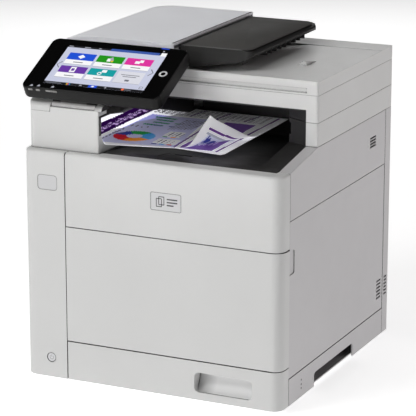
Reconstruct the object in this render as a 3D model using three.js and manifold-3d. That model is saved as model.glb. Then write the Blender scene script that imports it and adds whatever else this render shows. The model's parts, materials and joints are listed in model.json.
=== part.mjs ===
// Desktop office photocopier (print, copy, scan): a closed cabinet with one paper cassette, a front
// door over the toner compartment, a side door over the paper path, an output bay below a flatbed
// scanner, a document feeder on the platen lid, and a tilting touch panel on a front left pedestal.
//
// Units are millimetres and +Z is up. Every piece is drawn in the cabinet's corner frame: x from the
// left side, y from the front face, z from the floor. The exported group moves the origin to the
// centre of the footprint on the floor, so the row frame has the front at -Y and the right at +X.

import * as THREE from 'three';
import { mergeVertices } from 'three/addons/utils/BufferGeometryUtils.js';
import { ConvexGeometry } from 'three/addons/geometries/ConvexGeometry.js';
import Module from 'manifold-3d';

const wasm = await Module();
wasm.setup();

// ---------------------------------------------------------------- driving dimensions

const WIDTH = 420; // overall, left to right
const DEPTH = 433; // overall, front to rear
const WALL = 2.5; // moulded cover thickness
const FIT = 0.3; // clearance between pieces that rest on or in each other
const SEAM = 1.2; // visible gap between neighbouring covers

const FOOT_HEIGHT = 6;
const CASSETTE_SEAM = 66.5; // height of the seam between cassette and front door
const DOOR_SEAM = 245; // seam between front door and upper front cover
const RIM = 357.3; // front rim of the output tray
const RIM_BACK = 373.4; // side rim where it meets the exit housing
const BAND_TOP = 408.8; // seam between exit housing and scanner
const BAY_TOP = 427.4; // ceiling of the output bay
const SCANNER_TOP = 449.2; // seam between scanner and platen lid
const LID_TOP = 470.4;
const FEEDER_TOP = 507; // overall height

const COLUMN_SEAM = 71.3; // x of the seam between left column and front covers
const FRONT_WRAP = 30.8; // how far the front covers wrap round the sides
const FRONT_RADIUS = 17; // their vertical corner
const REAR_SEAM = 407.1; // y where the rear cover's side flanges start
const UPPER_FRONT = 129.3; // y of the front face of exit housing, scanner and lid
const UPPER_RADIUS = 4;
const POST_X = 401; // inner side of the right post of the output bay
const BLOCK_X = 121; // right side of the pedestal and of the left pillar
const BAY_BACK = 373; // y of the bay's rear wall
const RIM_DEPTH = 24; // y depth of the front rim
const FLANK_X = 366; // inner edge of the tray's right flank

const PANEL_TILT = 26.4; // degrees above level
const PANEL_WIDTH = 226;
const PANEL_LENGTH = 121.4; // along the slope
const PANEL_THICK = 22;
const PANEL_RADIUS = 12;
const GLASS_THICK = 1.2;
const PANEL_AXIS = { y: 27, z: 422 };

const DISPLAY_WIDTH = 163.5; // a wide display of about seven inches
const DISPLAY_HEIGHT = 93;

const ARC_STEPS = 2; // curve divisions, doubled for each quarter round
const ROUND_STEPS = 16; // sides of small round pieces

const half = (x) => x / 2;
const gap = half(SEAM);

// ---------------------------------------------------------------- materials

const plastic = (color, roughness = 0.55) => new THREE.MeshStandardMaterial({ color, roughness, metalness: 0 });
const metal = (color, roughness = 0.4) => new THREE.MeshStandardMaterial({ color, roughness, metalness: 0.9 });

const coverWhite = plastic(0xdcdcde, 0.5);
const coverGrey = plastic(0xc9c8cb, 0.5);
const darkPlastic = plastic(0x3b3a3c, 0.6);
const trayPlastic = plastic(0x47464a, 0.6);
const plateGrey = plastic(0xd4d5d8, 0.35);
const keyPlastic = plastic(0xe2e2e4, 0.35);
const blackGlass = plastic(0x141313, 0.08);
const displayGlass = plastic(0xc9cff0, 0.1);
const clearGlass = plastic(0x9fb0b0, 0.05);
const padWhite = plastic(0xf2f2f0, 0.9);
const rubber = plastic(0x2b2b2b, 0.9);
const sheetSteel = metal(0x9b9ea3, 0.45);
const rollerSteel = metal(0xb9bbc0, 0.3);
const boardGreen = plastic(0x2c6e49, 0.6);
const tonerColours = { black: 0x222222, cyan: 0x1f8fc4, magenta: 0xb8326f, yellow: 0xd9b51e };

// ---------------------------------------------------------------- solids

// A closed mesh with its shared corners merged, ready to be joined and cut.
function solid(geometry) {
  const bare = geometry.clone();
  for (const name of ['normal', 'uv']) bare.deleteAttribute(name);
  const merged = mergeVertices(bare);
  return new wasm.Manifold(new wasm.Mesh({
    numProp: 3,
    vertProperties: Float32Array.from(merged.attributes.position.array),
    triVerts: Uint32Array.from(merged.index.array),
  }));
}

const box = (x0, x1, y0, y1, z0, z1) => solid(
  new THREE.BoxGeometry(x1 - x0, y1 - y0, z1 - z0).translate(half(x0 + x1), half(y0 + y1), half(z0 + z1)),
);

function extrude(shape, depth) {
  return new THREE.ExtrudeGeometry(shape, { depth, bevelEnabled: false, curveSegments: ARC_STEPS });
}

// A shape in plan (x, y), from height z0 to z1.
const prismZ = (shape, z0, z1) => solid(extrude(shape, z1 - z0).translate(0, 0, z0));

// A shape in side view (y, z), from x0 to x1.
function prismX(shape, x0, x1) {
  const turn = new THREE.Matrix4().set(0, 0, 1, x0, 1, 0, 0, 0, 0, 1, 0, 0, 0, 0, 0, 1);
  return solid(extrude(shape, x1 - x0).applyMatrix4(turn));
}

// A shape in front view (x, z), from y0 to y1.
function prismY(shape, y0, y1) {
  const turn = new THREE.Matrix4().set(1, 0, 0, 0, 0, 0, -1, y1, 0, 1, 0, 0, 0, 0, 0, 1);
  return solid(extrude(shape, y1 - y0).applyMatrix4(turn));
}

const polygon = (points) => new THREE.Shape(points.map(([a, b]) => new THREE.Vector2(a, b)));

// A rectangle whose corners have radii [low low, high low, high high, low high].
function roundedRectangle(a0, a1, b0, b1, radii) {
  const [r0, r1, r2, r3] = Array.isArray(radii) ? radii : [radii, radii, radii, radii];
  const shape = new THREE.Shape();
  const corners = [
    [a0, b0, r0, Math.PI], [a1, b0, r1, 1.5 * Math.PI], [a1, b1, r2, 0], [a0, b1, r3, 0.5 * Math.PI],
  ];
  shape.moveTo(a0, half(b0 + b1));
  for (const [a, b, r, start] of corners) {
    const [sa, sb] = [a === a0 ? 1 : -1, b === b0 ? 1 : -1];
    if (r > 0) shape.absarc(a + sa * r, b + sb * r, r, start, start + half(Math.PI), false);
    else shape.lineTo(a, b);
  }
  shape.closePath();
  return shape;
}

// A round bar along an axis, between two places on that axis.
function rod(axis, radius, from, to, centre, sides = ROUND_STEPS) {
  const bar = new THREE.CylinderGeometry(radius, radius, to - from, sides);
  const middle = half(from + to);
  if (axis === 'x') bar.rotateZ(half(Math.PI)).translate(middle, centre.y, centre.z);
  if (axis === 'y') bar.translate(centre.x, middle, centre.z);
  if (axis === 'z') bar.rotateX(half(Math.PI)).translate(centre.x, centre.y, middle);
  return solid(bar);
}

const hull = (points) => solid(new ConvexGeometry(points.map((p) => new THREE.Vector3(...p))));
const join = (...solids) => solids.reduce((sum, next) => sum.add(next));
const cut = (body, ...tools) => tools.reduce((rest, tool) => rest.subtract(tool), body);

// ---------------------------------------------------------------- the assembly

const copier = new THREE.Group();
copier.position.set(-half(WIDTH), -half(DEPTH), 0);

const panelGroup = new THREE.Group();
copier.add(panelGroup);

function place(name, body, material, parent = copier) {
  const made = body.getMesh();
  const geometry = new THREE.BufferGeometry();
  geometry.setAttribute('position', new THREE.BufferAttribute(Float32Array.from(made.vertProperties), 3));
  geometry.setIndex(new THREE.BufferAttribute(Uint32Array.from(made.triVerts), 1));
  geometry.computeVertexNormals();
  const mesh = new THREE.Mesh(geometry, material);
  mesh.name = name;
  parent.add(mesh);
}

// ---------------------------------------------------------------- chassis and feet

const CHASSIS = { left: 78, right: 410, front: 36, back: 404, sheet: 2, shelf: 69, top: 350 };
const PATH_X = 362; // the engine ends here, and the vertical paper path starts

function baseFrame() {
  const { left, right, front, back, sheet, shelf, top } = CHASSIS;
  const bottom = FOOT_HEIGHT + FIT;
  const bend = bottom + half(sheet);
  const post = 5;
  return join(
    box(6, WIDTH - 6, front, 424, bottom, bottom + sheet),
    box(left, left + sheet, front, back, bend, top),
    box(left, right, back - sheet, back, bend, top),
    box(right - post, right, front, front + 10, bend, top),
    box(right - post, right, back - 10, back, bend, top),
    box(left, PATH_X, front, back, shelf, shelf + sheet),
    box(left, right, front, front + 4, top - 6, top),
    box(right - post, right, front, back, top - 10, top),
  );
}

function placeFeet() {
  const inset = 32;
  const radius = 12;
  for (const [side, x] of [['left', inset], ['right', WIDTH - inset]]) {
    for (const [end, y] of [['front', 52], ['rear', DEPTH - inset]]) {
      place(`foot_${end}_${side}`, rod('z', radius, 0, FOOT_HEIGHT, { x, y }), rubber);
    }
  }
}

// ---------------------------------------------------------------- front covers

const COVER_BOTTOM = FOOT_HEIGHT + FIT;
const BUTTON = { x: 43.8, z: 37, radius: 7.2 };
const BLANK_PLATE = { x0: 25.9, x1: 58, z0: 298.3, z1: 320.8, radius: 5 };
const BADGE = { x0: 212.9, x1: 261.6, z0: 288.1, z1: 314.6, radius: 2.5 };
const PLATE_DEPTH = 1.2;

// Front cover with a rounded outer corner, hollow from behind.
function frontCover(x0, x1, z0, z1, corner) {
  const back = FRONT_WRAP - gap;
  const radii = corner === 'left' ? [FRONT_RADIUS, 0, 0, 0] : [0, FRONT_RADIUS, 0, 0];
  const inner = radii.map((r) => Math.max(0, r - WALL));
  return cut(
    prismZ(roundedRectangle(x0, x1, 0, back, radii), z0, z1),
    prismZ(roundedRectangle(x0 + WALL, x1 - WALL, WALL, back + WALL, inner), z0 + WALL, z1 - WALL),
  );
}

const plateShape = ({ x0, x1, z0, z1, radius }, grow = 0) => roundedRectangle(
  x0 - grow, x1 + grow, z0 - grow, z1 + grow, radius,
);

function leftColumn() {
  const hole = rod('y', BUTTON.radius + 0.6, -1, WALL + 1, BUTTON);
  const recess = prismY(plateShape(BLANK_PLATE, FIT), -1, PLATE_DEPTH + FIT);
  return cut(frontCover(0, COLUMN_SEAM - gap, COVER_BOTTOM, RIM, 'left'), hole, recess);
}

function powerButton() {
  return join(
    rod('y', BUTTON.radius, 0.6, 6, BUTTON),
    rod('y', 3, 5, 20, BUTTON, 8),
  );
}

const facePlate = (plate) => prismY(plateShape(plate), FIT, PLATE_DEPTH);

// The upper cover carries the front rim of the output tray. Under the pedestal its rim is shallower.
function upperFrontCover() {
  const x0 = COLUMN_SEAM + gap;
  const z0 = DOOR_SEAM + gap;
  const recess = prismY(plateShape(BADGE, FIT), -1, PLATE_DEPTH + FIT);
  const behindRim = box(x0 - 1, POST_X + 0.5, RIM_DEPTH, FRONT_WRAP + 1, z0 + WALL, RIM + 1);
  return cut(frontCover(x0, WIDTH, z0, RIM, 'right'), recess, behindRim);
}

// The front door turns about a line 3.5 mm inside its lower front edge. That edge is bevelled and
// its upper rear edge is lower, so that both clear their neighbours as the door swings down.
function frontDoor() {
  const [x0, z0, z1] = [COLUMN_SEAM + gap, CASSETTE_SEAM + gap, DOOR_SEAM - gap];
  const back = FRONT_WRAP + 1;
  const edge = 1;
  const drop = 1.6;
  const bottomBevel = prismX(polygon([[-1, z0 - 1], [edge + 1, z0 - 1], [-1, z0 + edge + 1]]), x0 - 1, WIDTH + 1);
  const topSlope = prismX(polygon([[5, z1], [back, z1 - drop], [back, z1 + 1], [5, z1 + 1]]), x0 - 1, WIDTH + 1);
  return cut(frontCover(x0, WIDTH, z0, z1, 'right'), bottomBevel, topSlope);
}

// ---------------------------------------------------------------- cassette

const HANDLE = { x0: 282.6, x1: 375, z0: 18.5, z1: 48.9, radius: 7, depth: 22 };
const TUB = { x0: 86, x1: 400, y0: 31.2, y1: 340, z0: 12, floor: 2, side: 58, back: 42 };
const LIFT_PLATE = { x0: 234, x1: 390, y0: 72, y1: 298, z0: 16, thick: 1.5 };

function cassetteFront() {
  const [x0, z0, z1] = [COLUMN_SEAM + gap, COVER_BOTTOM, CASSETTE_SEAM - gap];
  const back = FRONT_WRAP - gap;
  const margin = 4;
  const outer = prismZ(roundedRectangle(x0, WIDTH, 0, back, [0, FRONT_RADIUS, 0, 0]), z0, z1);
  const handle = prismY(plateShape(HANDLE), -1, HANDLE.depth);
  const leftHollow = box(x0 + WALL, HANDLE.x0 - margin, 3, back + 1, z0 + WALL, z1 - WALL);
  const rightHollow = box(HANDLE.x1 + margin, WIDTH - 6, 9, back + 1, z0 + WALL, z1 - WALL);
  return cut(outer, handle, leftHollow, rightHollow);
}

function cassetteTub() {
  const { x0, x1, y0, y1, z0, floor, side, back } = TUB;
  const outer = box(x0, x1, y0, y1, z0, side);
  const hollow = box(x0 + WALL, x1 - WALL, y0 + WALL, y1 - WALL, z0 + floor, side + 1);
  const lowBack = box(x0 - 1, x1 + 1, y1 - 2 * WALL, y1 + 1, back, side + 1);
  return cut(outer, hollow, lowBack);
}

function liftPlate() {
  const { x0, x1, y0, y1, z0, thick } = LIFT_PLATE;
  const notch = roundedRectangle(x1 - 30, x1 + 1, half(y0 + y1) - 24, half(y0 + y1) + 24, 0);
  return cut(box(x0, x1, y0, y1, z0, z0 + thick), prismZ(notch, z0 - 1, z0 + thick + 1));
}

// An upright fence on a flat sole, for one side of the paper stack.
function sideGuide(y, inward) {
  const sole = 22;
  const z0 = TUB.z0 + TUB.floor + FIT;
  const [y0, y1] = inward > 0 ? [y, y + sole] : [y - sole, y];
  const [f0, f1] = inward > 0 ? [y, y + 3] : [y - 3, y];
  return join(box(112, 224, y0, y1, z0, z0 + 1.5), box(112, 224, f0, f1, z0 + 1, 43));
}

function endGuide() {
  const z0 = TUB.z0 + TUB.floor + FIT;
  return join(box(94, 116, 155, 215, z0, z0 + 1.5), box(94, 97, 160, 210, z0 + 1, 43));
}

// ---------------------------------------------------------------- side and rear covers

const SIDE_PANEL = { z0: 48.1, z1: 285.7 };
const SIDE_Y0 = FRONT_WRAP + gap;
const SIDE_Y1 = REAR_SEAM - gap;
const PULL_NOTCH = { y0: SIDE_Y0, y1: 49.5, z0: 205, z1: 241 };
const LIFT_NOTCH = { y0: 127, y1: 282, z1: 28 };

// The top edge of the side covers rises from the front rim to the exit housing, then runs level.
const sideTop = (lower = 0) => [
  [SIDE_Y0, RIM - lower], [UPPER_FRONT, RIM_BACK - FIT - lower], [SIDE_Y1, RIM_BACK - FIT - lower],
];

function sideSheet(z0, outerX) {
  const [x0, x1] = outerX === 0 ? [0, WALL] : [WIDTH - WALL, WIDTH];
  return prismX(polygon([[SIDE_Y0, z0], ...sideTop(), [SIDE_Y1, z0]]), x0, x1);
}

function rimFlange(x0, x1) {
  return prismX(polygon([...sideTop(), ...sideTop(WALL).reverse()]), x0, x1);
}

function slots(count, y0, y1, z0, z1) {
  const pitch = (z1 - z0) / count;
  const height = 0.55 * pitch;
  return Array.from({ length: count }, (_, i) => (
    box(WIDTH - 2 * WALL, WIDTH + 1, y0, y1, z0 + i * pitch, z0 + i * pitch + height)
  ));
}

function rightUpperCover() {
  const sheet = sideSheet(SIDE_PANEL.z1 + gap, WIDTH);
  return cut(join(sheet, rimFlange(POST_X + 0.5, WIDTH - 1)), ...slots(4, 342, 367, 324.5, 343));
}

const leftSideCover = () => sideSheet(COVER_BOTTOM, 0);

// The door over the paper path is set back slightly in the right side and turns about its rear edge.
function sideDoor() {
  const inset = 0.6;
  const sheet = box(WIDTH - inset - WALL, WIDTH - inset, SIDE_Y0, SIDE_Y1, SIDE_PANEL.z0 + gap, SIDE_PANEL.z1 - gap);
  const { y0, y1, z0, z1 } = PULL_NOTCH;
  const pull = prismX(roundedRectangle(y0 - 1, y1, z0, z1, [0, 4, 4, 0]), WIDTH - 2, WIDTH + 1);
  return cut(sheet, pull, ...slots(6, 382, 400, 68.7, 102.4));
}

function rightLowerCover() {
  const sheet = box(WIDTH - WALL, WIDTH, SIDE_Y0, SIDE_Y1, COVER_BOTTOM, SIDE_PANEL.z0 - gap);
  const { y0, y1, z1 } = LIFT_NOTCH;
  const lift = prismX(roundedRectangle(y0, y1, 0, z1, [0, 0, 6, 6]), WIDTH - 2 * WALL, WIDTH + 1);
  const holes = [20, 26, 33].map((z) => rod('x', 1.5, WIDTH - 2 * WALL, WIDTH + 1, { y: 78, z }, 8));
  return cut(sheet, lift, ...holes);
}

const FAN = { x: 130, z: 300, radius: 34, y0: 410, y1: 424 };

function rearCover() {
  const y0 = REAR_SEAM + gap;
  const top = RIM_BACK - FIT;
  const shell = cut(
    prismZ(roundedRectangle(0, WIDTH, y0, DEPTH, [0, 0, 4, 4]), COVER_BOTTOM, top),
    box(WALL, WIDTH - WALL, y0 - 1, DEPTH - WALL, COVER_BOTTOM - 1, top - WALL),
  );
  const grille = Array.from({ length: 7 }, (_, i) => (
    box(FAN.x - 30, FAN.x + 30, DEPTH - 2 * WALL, DEPTH + 1, FAN.z - 31 + 9 * i, FAN.z - 26 + 9 * i)
  ));
  const inlet = box(56, 84, DEPTH - 2 * WALL, DEPTH + 1, 40, 62);
  return cut(shell, ...grille, inlet, ...slots(6, 412.6, 424, 68.7, 102.4));
}

// ---------------------------------------------------------------- output bay

const TRAY = { x0: BLOCK_X + 0.6, floorFront: RIM - 0.5, floorBack: 322, crease: 45, sheet: 3 };
const STOP = { x0: 202, x1: 262, y0: 46, y1: 78 };
const EXIT_SLOT = { y0: 140, y1: 345, z0: 384, z1: 402 };

const floorHeight = (y) => TRAY.floorFront
  + (TRAY.floorBack - TRAY.floorFront) * (y - TRAY.crease) / (BAY_BACK - TRAY.crease);

// Height of the tray's right flank: it follows the side rim and drops a little towards the floor.
const rimHeight = (y) => RIM + (RIM_BACK - RIM) * Math.max(0, y - SIDE_Y0) / (UPPER_FRONT - SIDE_Y0);

function quadPlate(corners, thick) {
  return hull([...corners, ...corners.map(([x, y, z]) => [x, y, z - thick])]);
}

function baySideWall(z0, z1) {
  const chamfer = polygon([
    [POST_X - FIT, 133], [POST_X - FIT, 135.6], [FLANK_X + WALL, 151.5], [FLANK_X + WALL, BAY_BACK - FIT],
    [FLANK_X, BAY_BACK - FIT], [FLANK_X, 150],
  ]);
  return prismZ(chamfer, z0, z1);
}

function outputTray() {
  const { x0, crease, sheet, floorBack } = TRAY;
  const back = BAY_BACK - FIT;
  const innerDrop = 5;
  const rimGap = 0.4;
  const front = RIM_DEPTH + rimGap;
  const flankEnd = 152;
  const flankTop = Math.min(rimHeight(flankEnd), RIM_BACK) - rimGap;
  const floor = quadPlate([
    [x0, crease, floorHeight(crease)], [FLANK_X + WALL, crease, floorHeight(crease)],
    [FLANK_X + WALL, back, floorBack], [x0, back, floorBack],
  ], sheet);
  const lip = quadPlate([
    [x0, front, RIM], [FLANK_X + WALL, front, RIM],
    [FLANK_X + WALL, crease + 1, floorHeight(crease)], [x0, crease + 1, floorHeight(crease)],
  ], sheet);
  const corner = quadPlate([
    [FLANK_X, front, RIM], [POST_X - 14, front, RIM], [POST_X - 3, 28, RIM], [POST_X, 38, rimHeight(38) - rimGap],
    [POST_X, crease + 1, rimHeight(crease) - rimGap], [FLANK_X, crease + 1, RIM - 1],
  ], sheet);
  const flank = quadPlate([
    [FLANK_X, crease, RIM - 1], [POST_X, crease, rimHeight(crease) - rimGap],
    [POST_X, UPPER_FRONT, RIM_BACK - rimGap], [FLANK_X, UPPER_FRONT, RIM_BACK - innerDrop],
  ], sheet);
  const flankBack = quadPlate([
    [FLANK_X, UPPER_FRONT - 0.5, RIM_BACK - innerDrop], [POST_X, UPPER_FRONT - 0.5, flankTop],
    [POST_X, 136, flankTop], [FLANK_X, flankEnd, flankTop - 1],
  ], sheet);
  const rightWall = prismX(polygon([
    [crease - 2, RIM - 2.5], [crease - 2, RIM - 1.4], [UPPER_FRONT, RIM_BACK - innerDrop - 0.5],
    [back, RIM_BACK - innerDrop], [back, floorBack - sheet], [crease, RIM - 3.5],
  ]), FLANK_X, FLANK_X + WALL);
  const leftWall = prismX(polygon([
    [crease, RIM - 2.5], [crease, RIM - 0.5], [back, RIM - 0.5], [back, floorBack - sheet],
  ]), x0, x0 + WALL);
  const rearWall = box(x0, FLANK_X + WALL, back - WALL, back, floorBack - sheet, BAND_TOP - 0.5);
  const sideWall = baySideWall(RIM_BACK - innerDrop - 2.5, BAND_TOP - 0.5);
  const slot = box(FLANK_X - 1, FLANK_X + WALL + 1, EXIT_SLOT.y0, EXIT_SLOT.y1, EXIT_SLOT.z0, EXIT_SLOT.z1);
  const stopRecess = prismX(polygon([
    [STOP.y0 - 0.8, floorHeight(STOP.y0) - 2.2], [STOP.y0 - 0.8, RIM + 1],
    [STOP.y1 + 0.8, RIM + 1], [STOP.y1 + 0.8, floorHeight(STOP.y1) - 2.2],
  ]), STOP.x0 - 0.8, STOP.x1 + 0.8);
  return cut(
    join(floor, lip, corner, flank, flankBack, rightWall, leftWall, rearWall, sideWall),
    slot, stopRecess,
  );
}

// A flap that lies flush in the tray floor and flips up about its front edge to catch small sheets.
function paperStop() {
  const [thick, lower] = [1.4, 0.3];
  return quadPlate([
    [STOP.x0, STOP.y0, floorHeight(STOP.y0) - lower], [STOP.x1, STOP.y0, floorHeight(STOP.y0) - lower],
    [STOP.x1, STOP.y1, floorHeight(STOP.y1) - lower], [STOP.x0, STOP.y1, floorHeight(STOP.y1) - lower],
  ], thick);
}

const upperPlan = (inset = 0) => roundedRectangle(
  inset, WIDTH - inset, UPPER_FRONT + inset, DEPTH - inset, Math.max(0.5, UPPER_RADIUS - inset),
);

const bayCut = (z0, z1) => box(BLOCK_X + FIT, POST_X + FIT, 0, BAY_BACK, z0, z1);

function exitHousing() {
  const [z0, z1] = [RIM_BACK + FIT, BAND_TOP - FIT];
  const inside = z1 - WALL;
  return cut(
    prismZ(upperPlan(), z0, z1),
    bayCut(z0 - 1, z1 + 1),
    box(WALL, BLOCK_X - WALL, UPPER_FRONT + WALL, DEPTH - WALL, z0 - 1, inside),
    box(BLOCK_X - WALL - 1, WIDTH - WALL, BAY_BACK + WALL, DEPTH - WALL, z0 - 1, inside),
    box(POST_X + FIT + WALL, WIDTH - WALL, UPPER_FRONT + WALL, DEPTH - WALL, z0 - 1, inside),
  );
}

function bayCeiling() {
  const [z0, z1] = [BAND_TOP + FIT, BAY_TOP - FIT];
  const plate = prismZ(polygon([
    [BLOCK_X + 0.6, UPPER_FRONT + 2], [POST_X - FIT, UPPER_FRONT + 2],
    [POST_X - FIT, BAY_BACK - FIT], [BLOCK_X + 0.6, BAY_BACK - FIT],
  ]), z1 - WALL, z1);
  return join(plate, baySideWall(z0, z1 - 1));
}

// ---------------------------------------------------------------- scanner

const PLATEN = { x0: 57, x1: 372, y0: 167, y1: 393, thick: 3 };
const SCAN_DECK = 444;

function scannerBase() {
  const z0 = BAND_TOP + FIT;
  const { x0, x1, y0, y1, thick } = PLATEN;
  const ledge = 4;
  return cut(
    prismZ(upperPlan(), z0, SCANNER_TOP),
    bayCut(z0 - 1, BAY_TOP),
    box(8, WIDTH - 8, 142, 425, BAY_TOP + WALL, SCAN_DECK),
    box(x0, x1, y0, y1, SCANNER_TOP - thick - FIT, SCANNER_TOP + 1),
    box(x0 + ledge, x1 - ledge, y0 + ledge, y1 - ledge, SCAN_DECK - 1, SCANNER_TOP),
    box(WALL, BLOCK_X - WALL, UPPER_FRONT + WALL, DEPTH - WALL, z0 - 1, BAY_TOP),
    box(POST_X + WALL, WIDTH - WALL, UPPER_FRONT + WALL, DEPTH - WALL, z0 - 1, BAY_TOP),
    box(WALL, WIDTH - WALL, BAY_BACK + WALL, DEPTH - WALL, z0 - 1, BAY_TOP),
  );
}

function platenGlass() {
  const { x0, x1, y0, y1, thick } = PLATEN;
  return box(x0 + FIT, x1 - FIT, y0 + FIT, y1 - FIT, SCANNER_TOP - thick, SCANNER_TOP - 0.1);
}

function scanCarriage() {
  return join(box(62, 92, 150, 418, 432, 438), box(68, 86, 165, 400, 437, 442.5));
}

// ---------------------------------------------------------------- platen lid

const LID_HINGE = { y: 428, z: 453 };
const LID_BOTTOM = SCANNER_TOP + 0.4;
const PAD = { x0: 32, x1: 398, y0: 152, y1: 408, thick: 3 };
const GRIP = { x0: 18, x1: 402, z0: 451.9, z1: 459.8, depth: 4 };
const WELL = { x0: 188, x1: 300, y0: 134, y1: 385, deep: 461, shallow: 469.6 };
const HINGE_X = [[60, 110], [310, 360]];

function hingePocket([x0, x1]) {
  return join(
    box(x0 + 6, x1 - 6, LID_HINGE.y - 8, DEPTH + 1, LID_BOTTOM - 1, LID_HINGE.z + 6),
    rod('x', 2.5, x0 - 0.5, x1 + 0.5, LID_HINGE, 12),
  );
}

function lidHinge([x0, x1]) {
  const middle = half(x0 + x1);
  return join(
    rod('x', 2, x0, x1, LID_HINGE, 12),
    box(middle - 7, middle + 7, LID_HINGE.y - 3, LID_HINGE.y + 3, SCANNER_TOP + FIT, LID_HINGE.z),
  );
}

function platenLid() {
  const { x0, x1, y0, y1, deep, shallow } = WELL;
  const rearBevel = prismX(polygon([
    [LID_HINGE.y, LID_BOTTOM - 1], [LID_HINGE.y, LID_BOTTOM], [DEPTH + 0.1, LID_BOTTOM + 7], [DEPTH + 1, LID_BOTTOM - 1],
  ]), -1, WIDTH + 1);
  const well = prismY(polygon([[x0, deep], [x1, shallow], [x1, LID_TOP + 1], [x0, LID_TOP + 1]]), y0, y1);
  const plateau = prismY(polygon([
    [x1 - 1, shallow], [WIDTH + 1, LID_TOP - 0.4], [WIDTH + 1, LID_TOP + 1], [x1 - 1, LID_TOP + 1],
  ]), y0, y1);
  const stop = { left: 342, right: 358.5, front: 231, back: 272, foot: LID_TOP - 1, tip: LID_TOP + 6.5 };
  const sheetStop = hull([
    [stop.left, stop.front, stop.foot], [stop.right, stop.front, stop.foot], [stop.right, stop.back, stop.foot],
    [stop.right - 3.5, stop.front, stop.tip], [stop.right, stop.front + 5, stop.tip - 1],
  ]);
  return cut(
    join(cut(prismZ(upperPlan(), LID_BOTTOM, LID_TOP), well, plateau), sheetStop),
    rearBevel,
    box(GRIP.x0, GRIP.x1, 0, UPPER_FRONT + GRIP.depth, GRIP.z0, GRIP.z1),
    box(PAD.x0 - 1, PAD.x1 + 1, PAD.y0 - 1, PAD.y1 + 1, LID_BOTTOM - 1, LID_BOTTOM + 7),
    ...HINGE_X.map(hingePocket),
  );
}

const lidPad = () => box(PAD.x0, PAD.x1, PAD.y0, PAD.y1, LID_BOTTOM, LID_BOTTOM + PAD.thick);

// ---------------------------------------------------------------- document feeder

const FEEDER = { x0: 3, x1: 186, y0: 131, y1: 420, split: 487 };
const FEED_TRAY = { x0: 187, x1: 306, y0: 150, y1: 409, top: 502 };

function feederBase() {
  const { x0, x1, y0, y1, split } = FEEDER;
  return join(
    box(x0, x1, y0, y1, LID_TOP + FIT, split),
    box(x1 - 16, x1, y0 + 5, y1 - 5, split - 1, 498),
  );
}

// Outline of the feeder cover in front view: level, then rolling down to its hinge at the left end.
function feederCoverShape(inset = 0) {
  const [left, right, top] = [FEEDER.x0 + inset, FEEDER.x1 + 0.5, FEEDER_TOP - inset];
  const bottom = FEEDER.split + (inset > 0 ? -0.4 : 0.6);
  const shape = new THREE.Shape();
  shape.moveTo(right, bottom);
  shape.lineTo(right, top);
  shape.lineTo(62, top);
  shape.quadraticCurveTo(32, top, left + 6, top - 5.7);
  shape.quadraticCurveTo(left, top - 7.2, left, top - 13.5);
  shape.lineTo(left, bottom);
  shape.closePath();
  return shape;
}

function feederCover() {
  const { x1, y0, y1 } = FEEDER;
  const lip = 4;
  return cut(
    prismY(feederCoverShape(), y0, y1),
    cut(
      prismY(feederCoverShape(WALL), y0 + WALL, y1 - WALL),
      box(x1 - lip, x1 + 2, y0, y1, FEEDER_TOP - lip, FEEDER_TOP),
    ),
  );
}

const feedRoller = () => join(
  rod('y', 7, 250, 300, { x: 160, z: 495.4 }),
  rod('y', 2.5, 150, 400, { x: 160, z: 495.4 }, 8),
);

// The document tray: a flat top on a boat-shaped underside that thins out towards the right.
function feedTray() {
  const { x0, x1, y0, y1, top } = FEED_TRAY;
  const side = new THREE.Shape();
  side.moveTo(x0, top);
  side.lineTo(x0, top - 12);
  side.lineTo(x0 + 10, top - 31);
  side.lineTo(x0 + 20, top - 32.5);
  side.lineTo(x0 + 76, top - 22.7);
  side.lineTo(x1 - 24, top - 20);
  side.lineTo(x1 - 5, top - 12);
  side.quadraticCurveTo(x1, top - 10.5, x1, top - 6);
  side.quadraticCurveTo(x1 - 2, top, x1 - 21, top);
  side.closePath();
  const plan = roundedRectangle(x0, x1, y0, y1, [2, 14, 20, 2]);
  const hollow = box(x0 + 16, x1 - 24, y0 + 4, y1 - 4, 460, top - 3);
  const overLid = box(x0 - 1, x1 + 1, WELL.y1 - 1, y1 + 1, 460, LID_TOP + FIT);
  return cut(prismY(side, y0, y1).intersect(prismZ(plan, 460, top)), hollow, overLid);
}

// ---------------------------------------------------------------- pedestal and touch panel

const PEDESTAL = { x0: 4, y0: 14.5, z0: RIM + FIT, z1: 421, radius: 10 };
const BARREL = { x0: 41.4, x1: 113.6, radius: 9 };
const KNUCKLE = { x1: BLOCK_X + 5, back: 40, bottom: 414, top: 429, radius: 13 };

// Side view of the blocks at both ends of the barrel: upright in front, then a quarter round.
function knuckle(x0, x1) {
  const { back, bottom, top, radius } = KNUCKLE;
  const front = PEDESTAL.y0;
  const shape = new THREE.Shape();
  shape.moveTo(back, bottom);
  shape.lineTo(back, top);
  shape.lineTo(front + radius, top);
  shape.absarc(front + radius, top - radius, radius, half(Math.PI), Math.PI, false);
  shape.lineTo(front, bottom);
  shape.closePath();
  return prismX(shape, x0, x1);
}

function pedestal() {
  const { x0, y0, z0, z1, radius } = PEDESTAL;
  const back = UPPER_FRONT - FIT;
  const rightBlock = cut(
    knuckle(BARREL.x1 + 0.6, KNUCKLE.x1),
    box(BLOCK_X, KNUCKLE.x1 + 1, y0 - 1, KNUCKLE.back + 1, KNUCKLE.bottom - 1, z1),
  );
  return cut(
    join(prismZ(roundedRectangle(x0, BLOCK_X, y0, back, [radius, 2, 0, 0]), z0, z1), rightBlock),
    prismZ(roundedRectangle(x0 + WALL, BLOCK_X - WALL, y0 + WALL, back - WALL, radius - WALL), z0 - 1, z1 - 11.5),
    rod('x', BARREL.radius + 1, BARREL.x0 - 1, BARREL.x1 + 0.6, PANEL_AXIS, 24),
    box(x0 - 1, BARREL.x0 - 0.4, y0 - 1, y0 + WALL + FIT, KNUCKLE.bottom - FIT, z1 + 1),
  );
}

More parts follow.
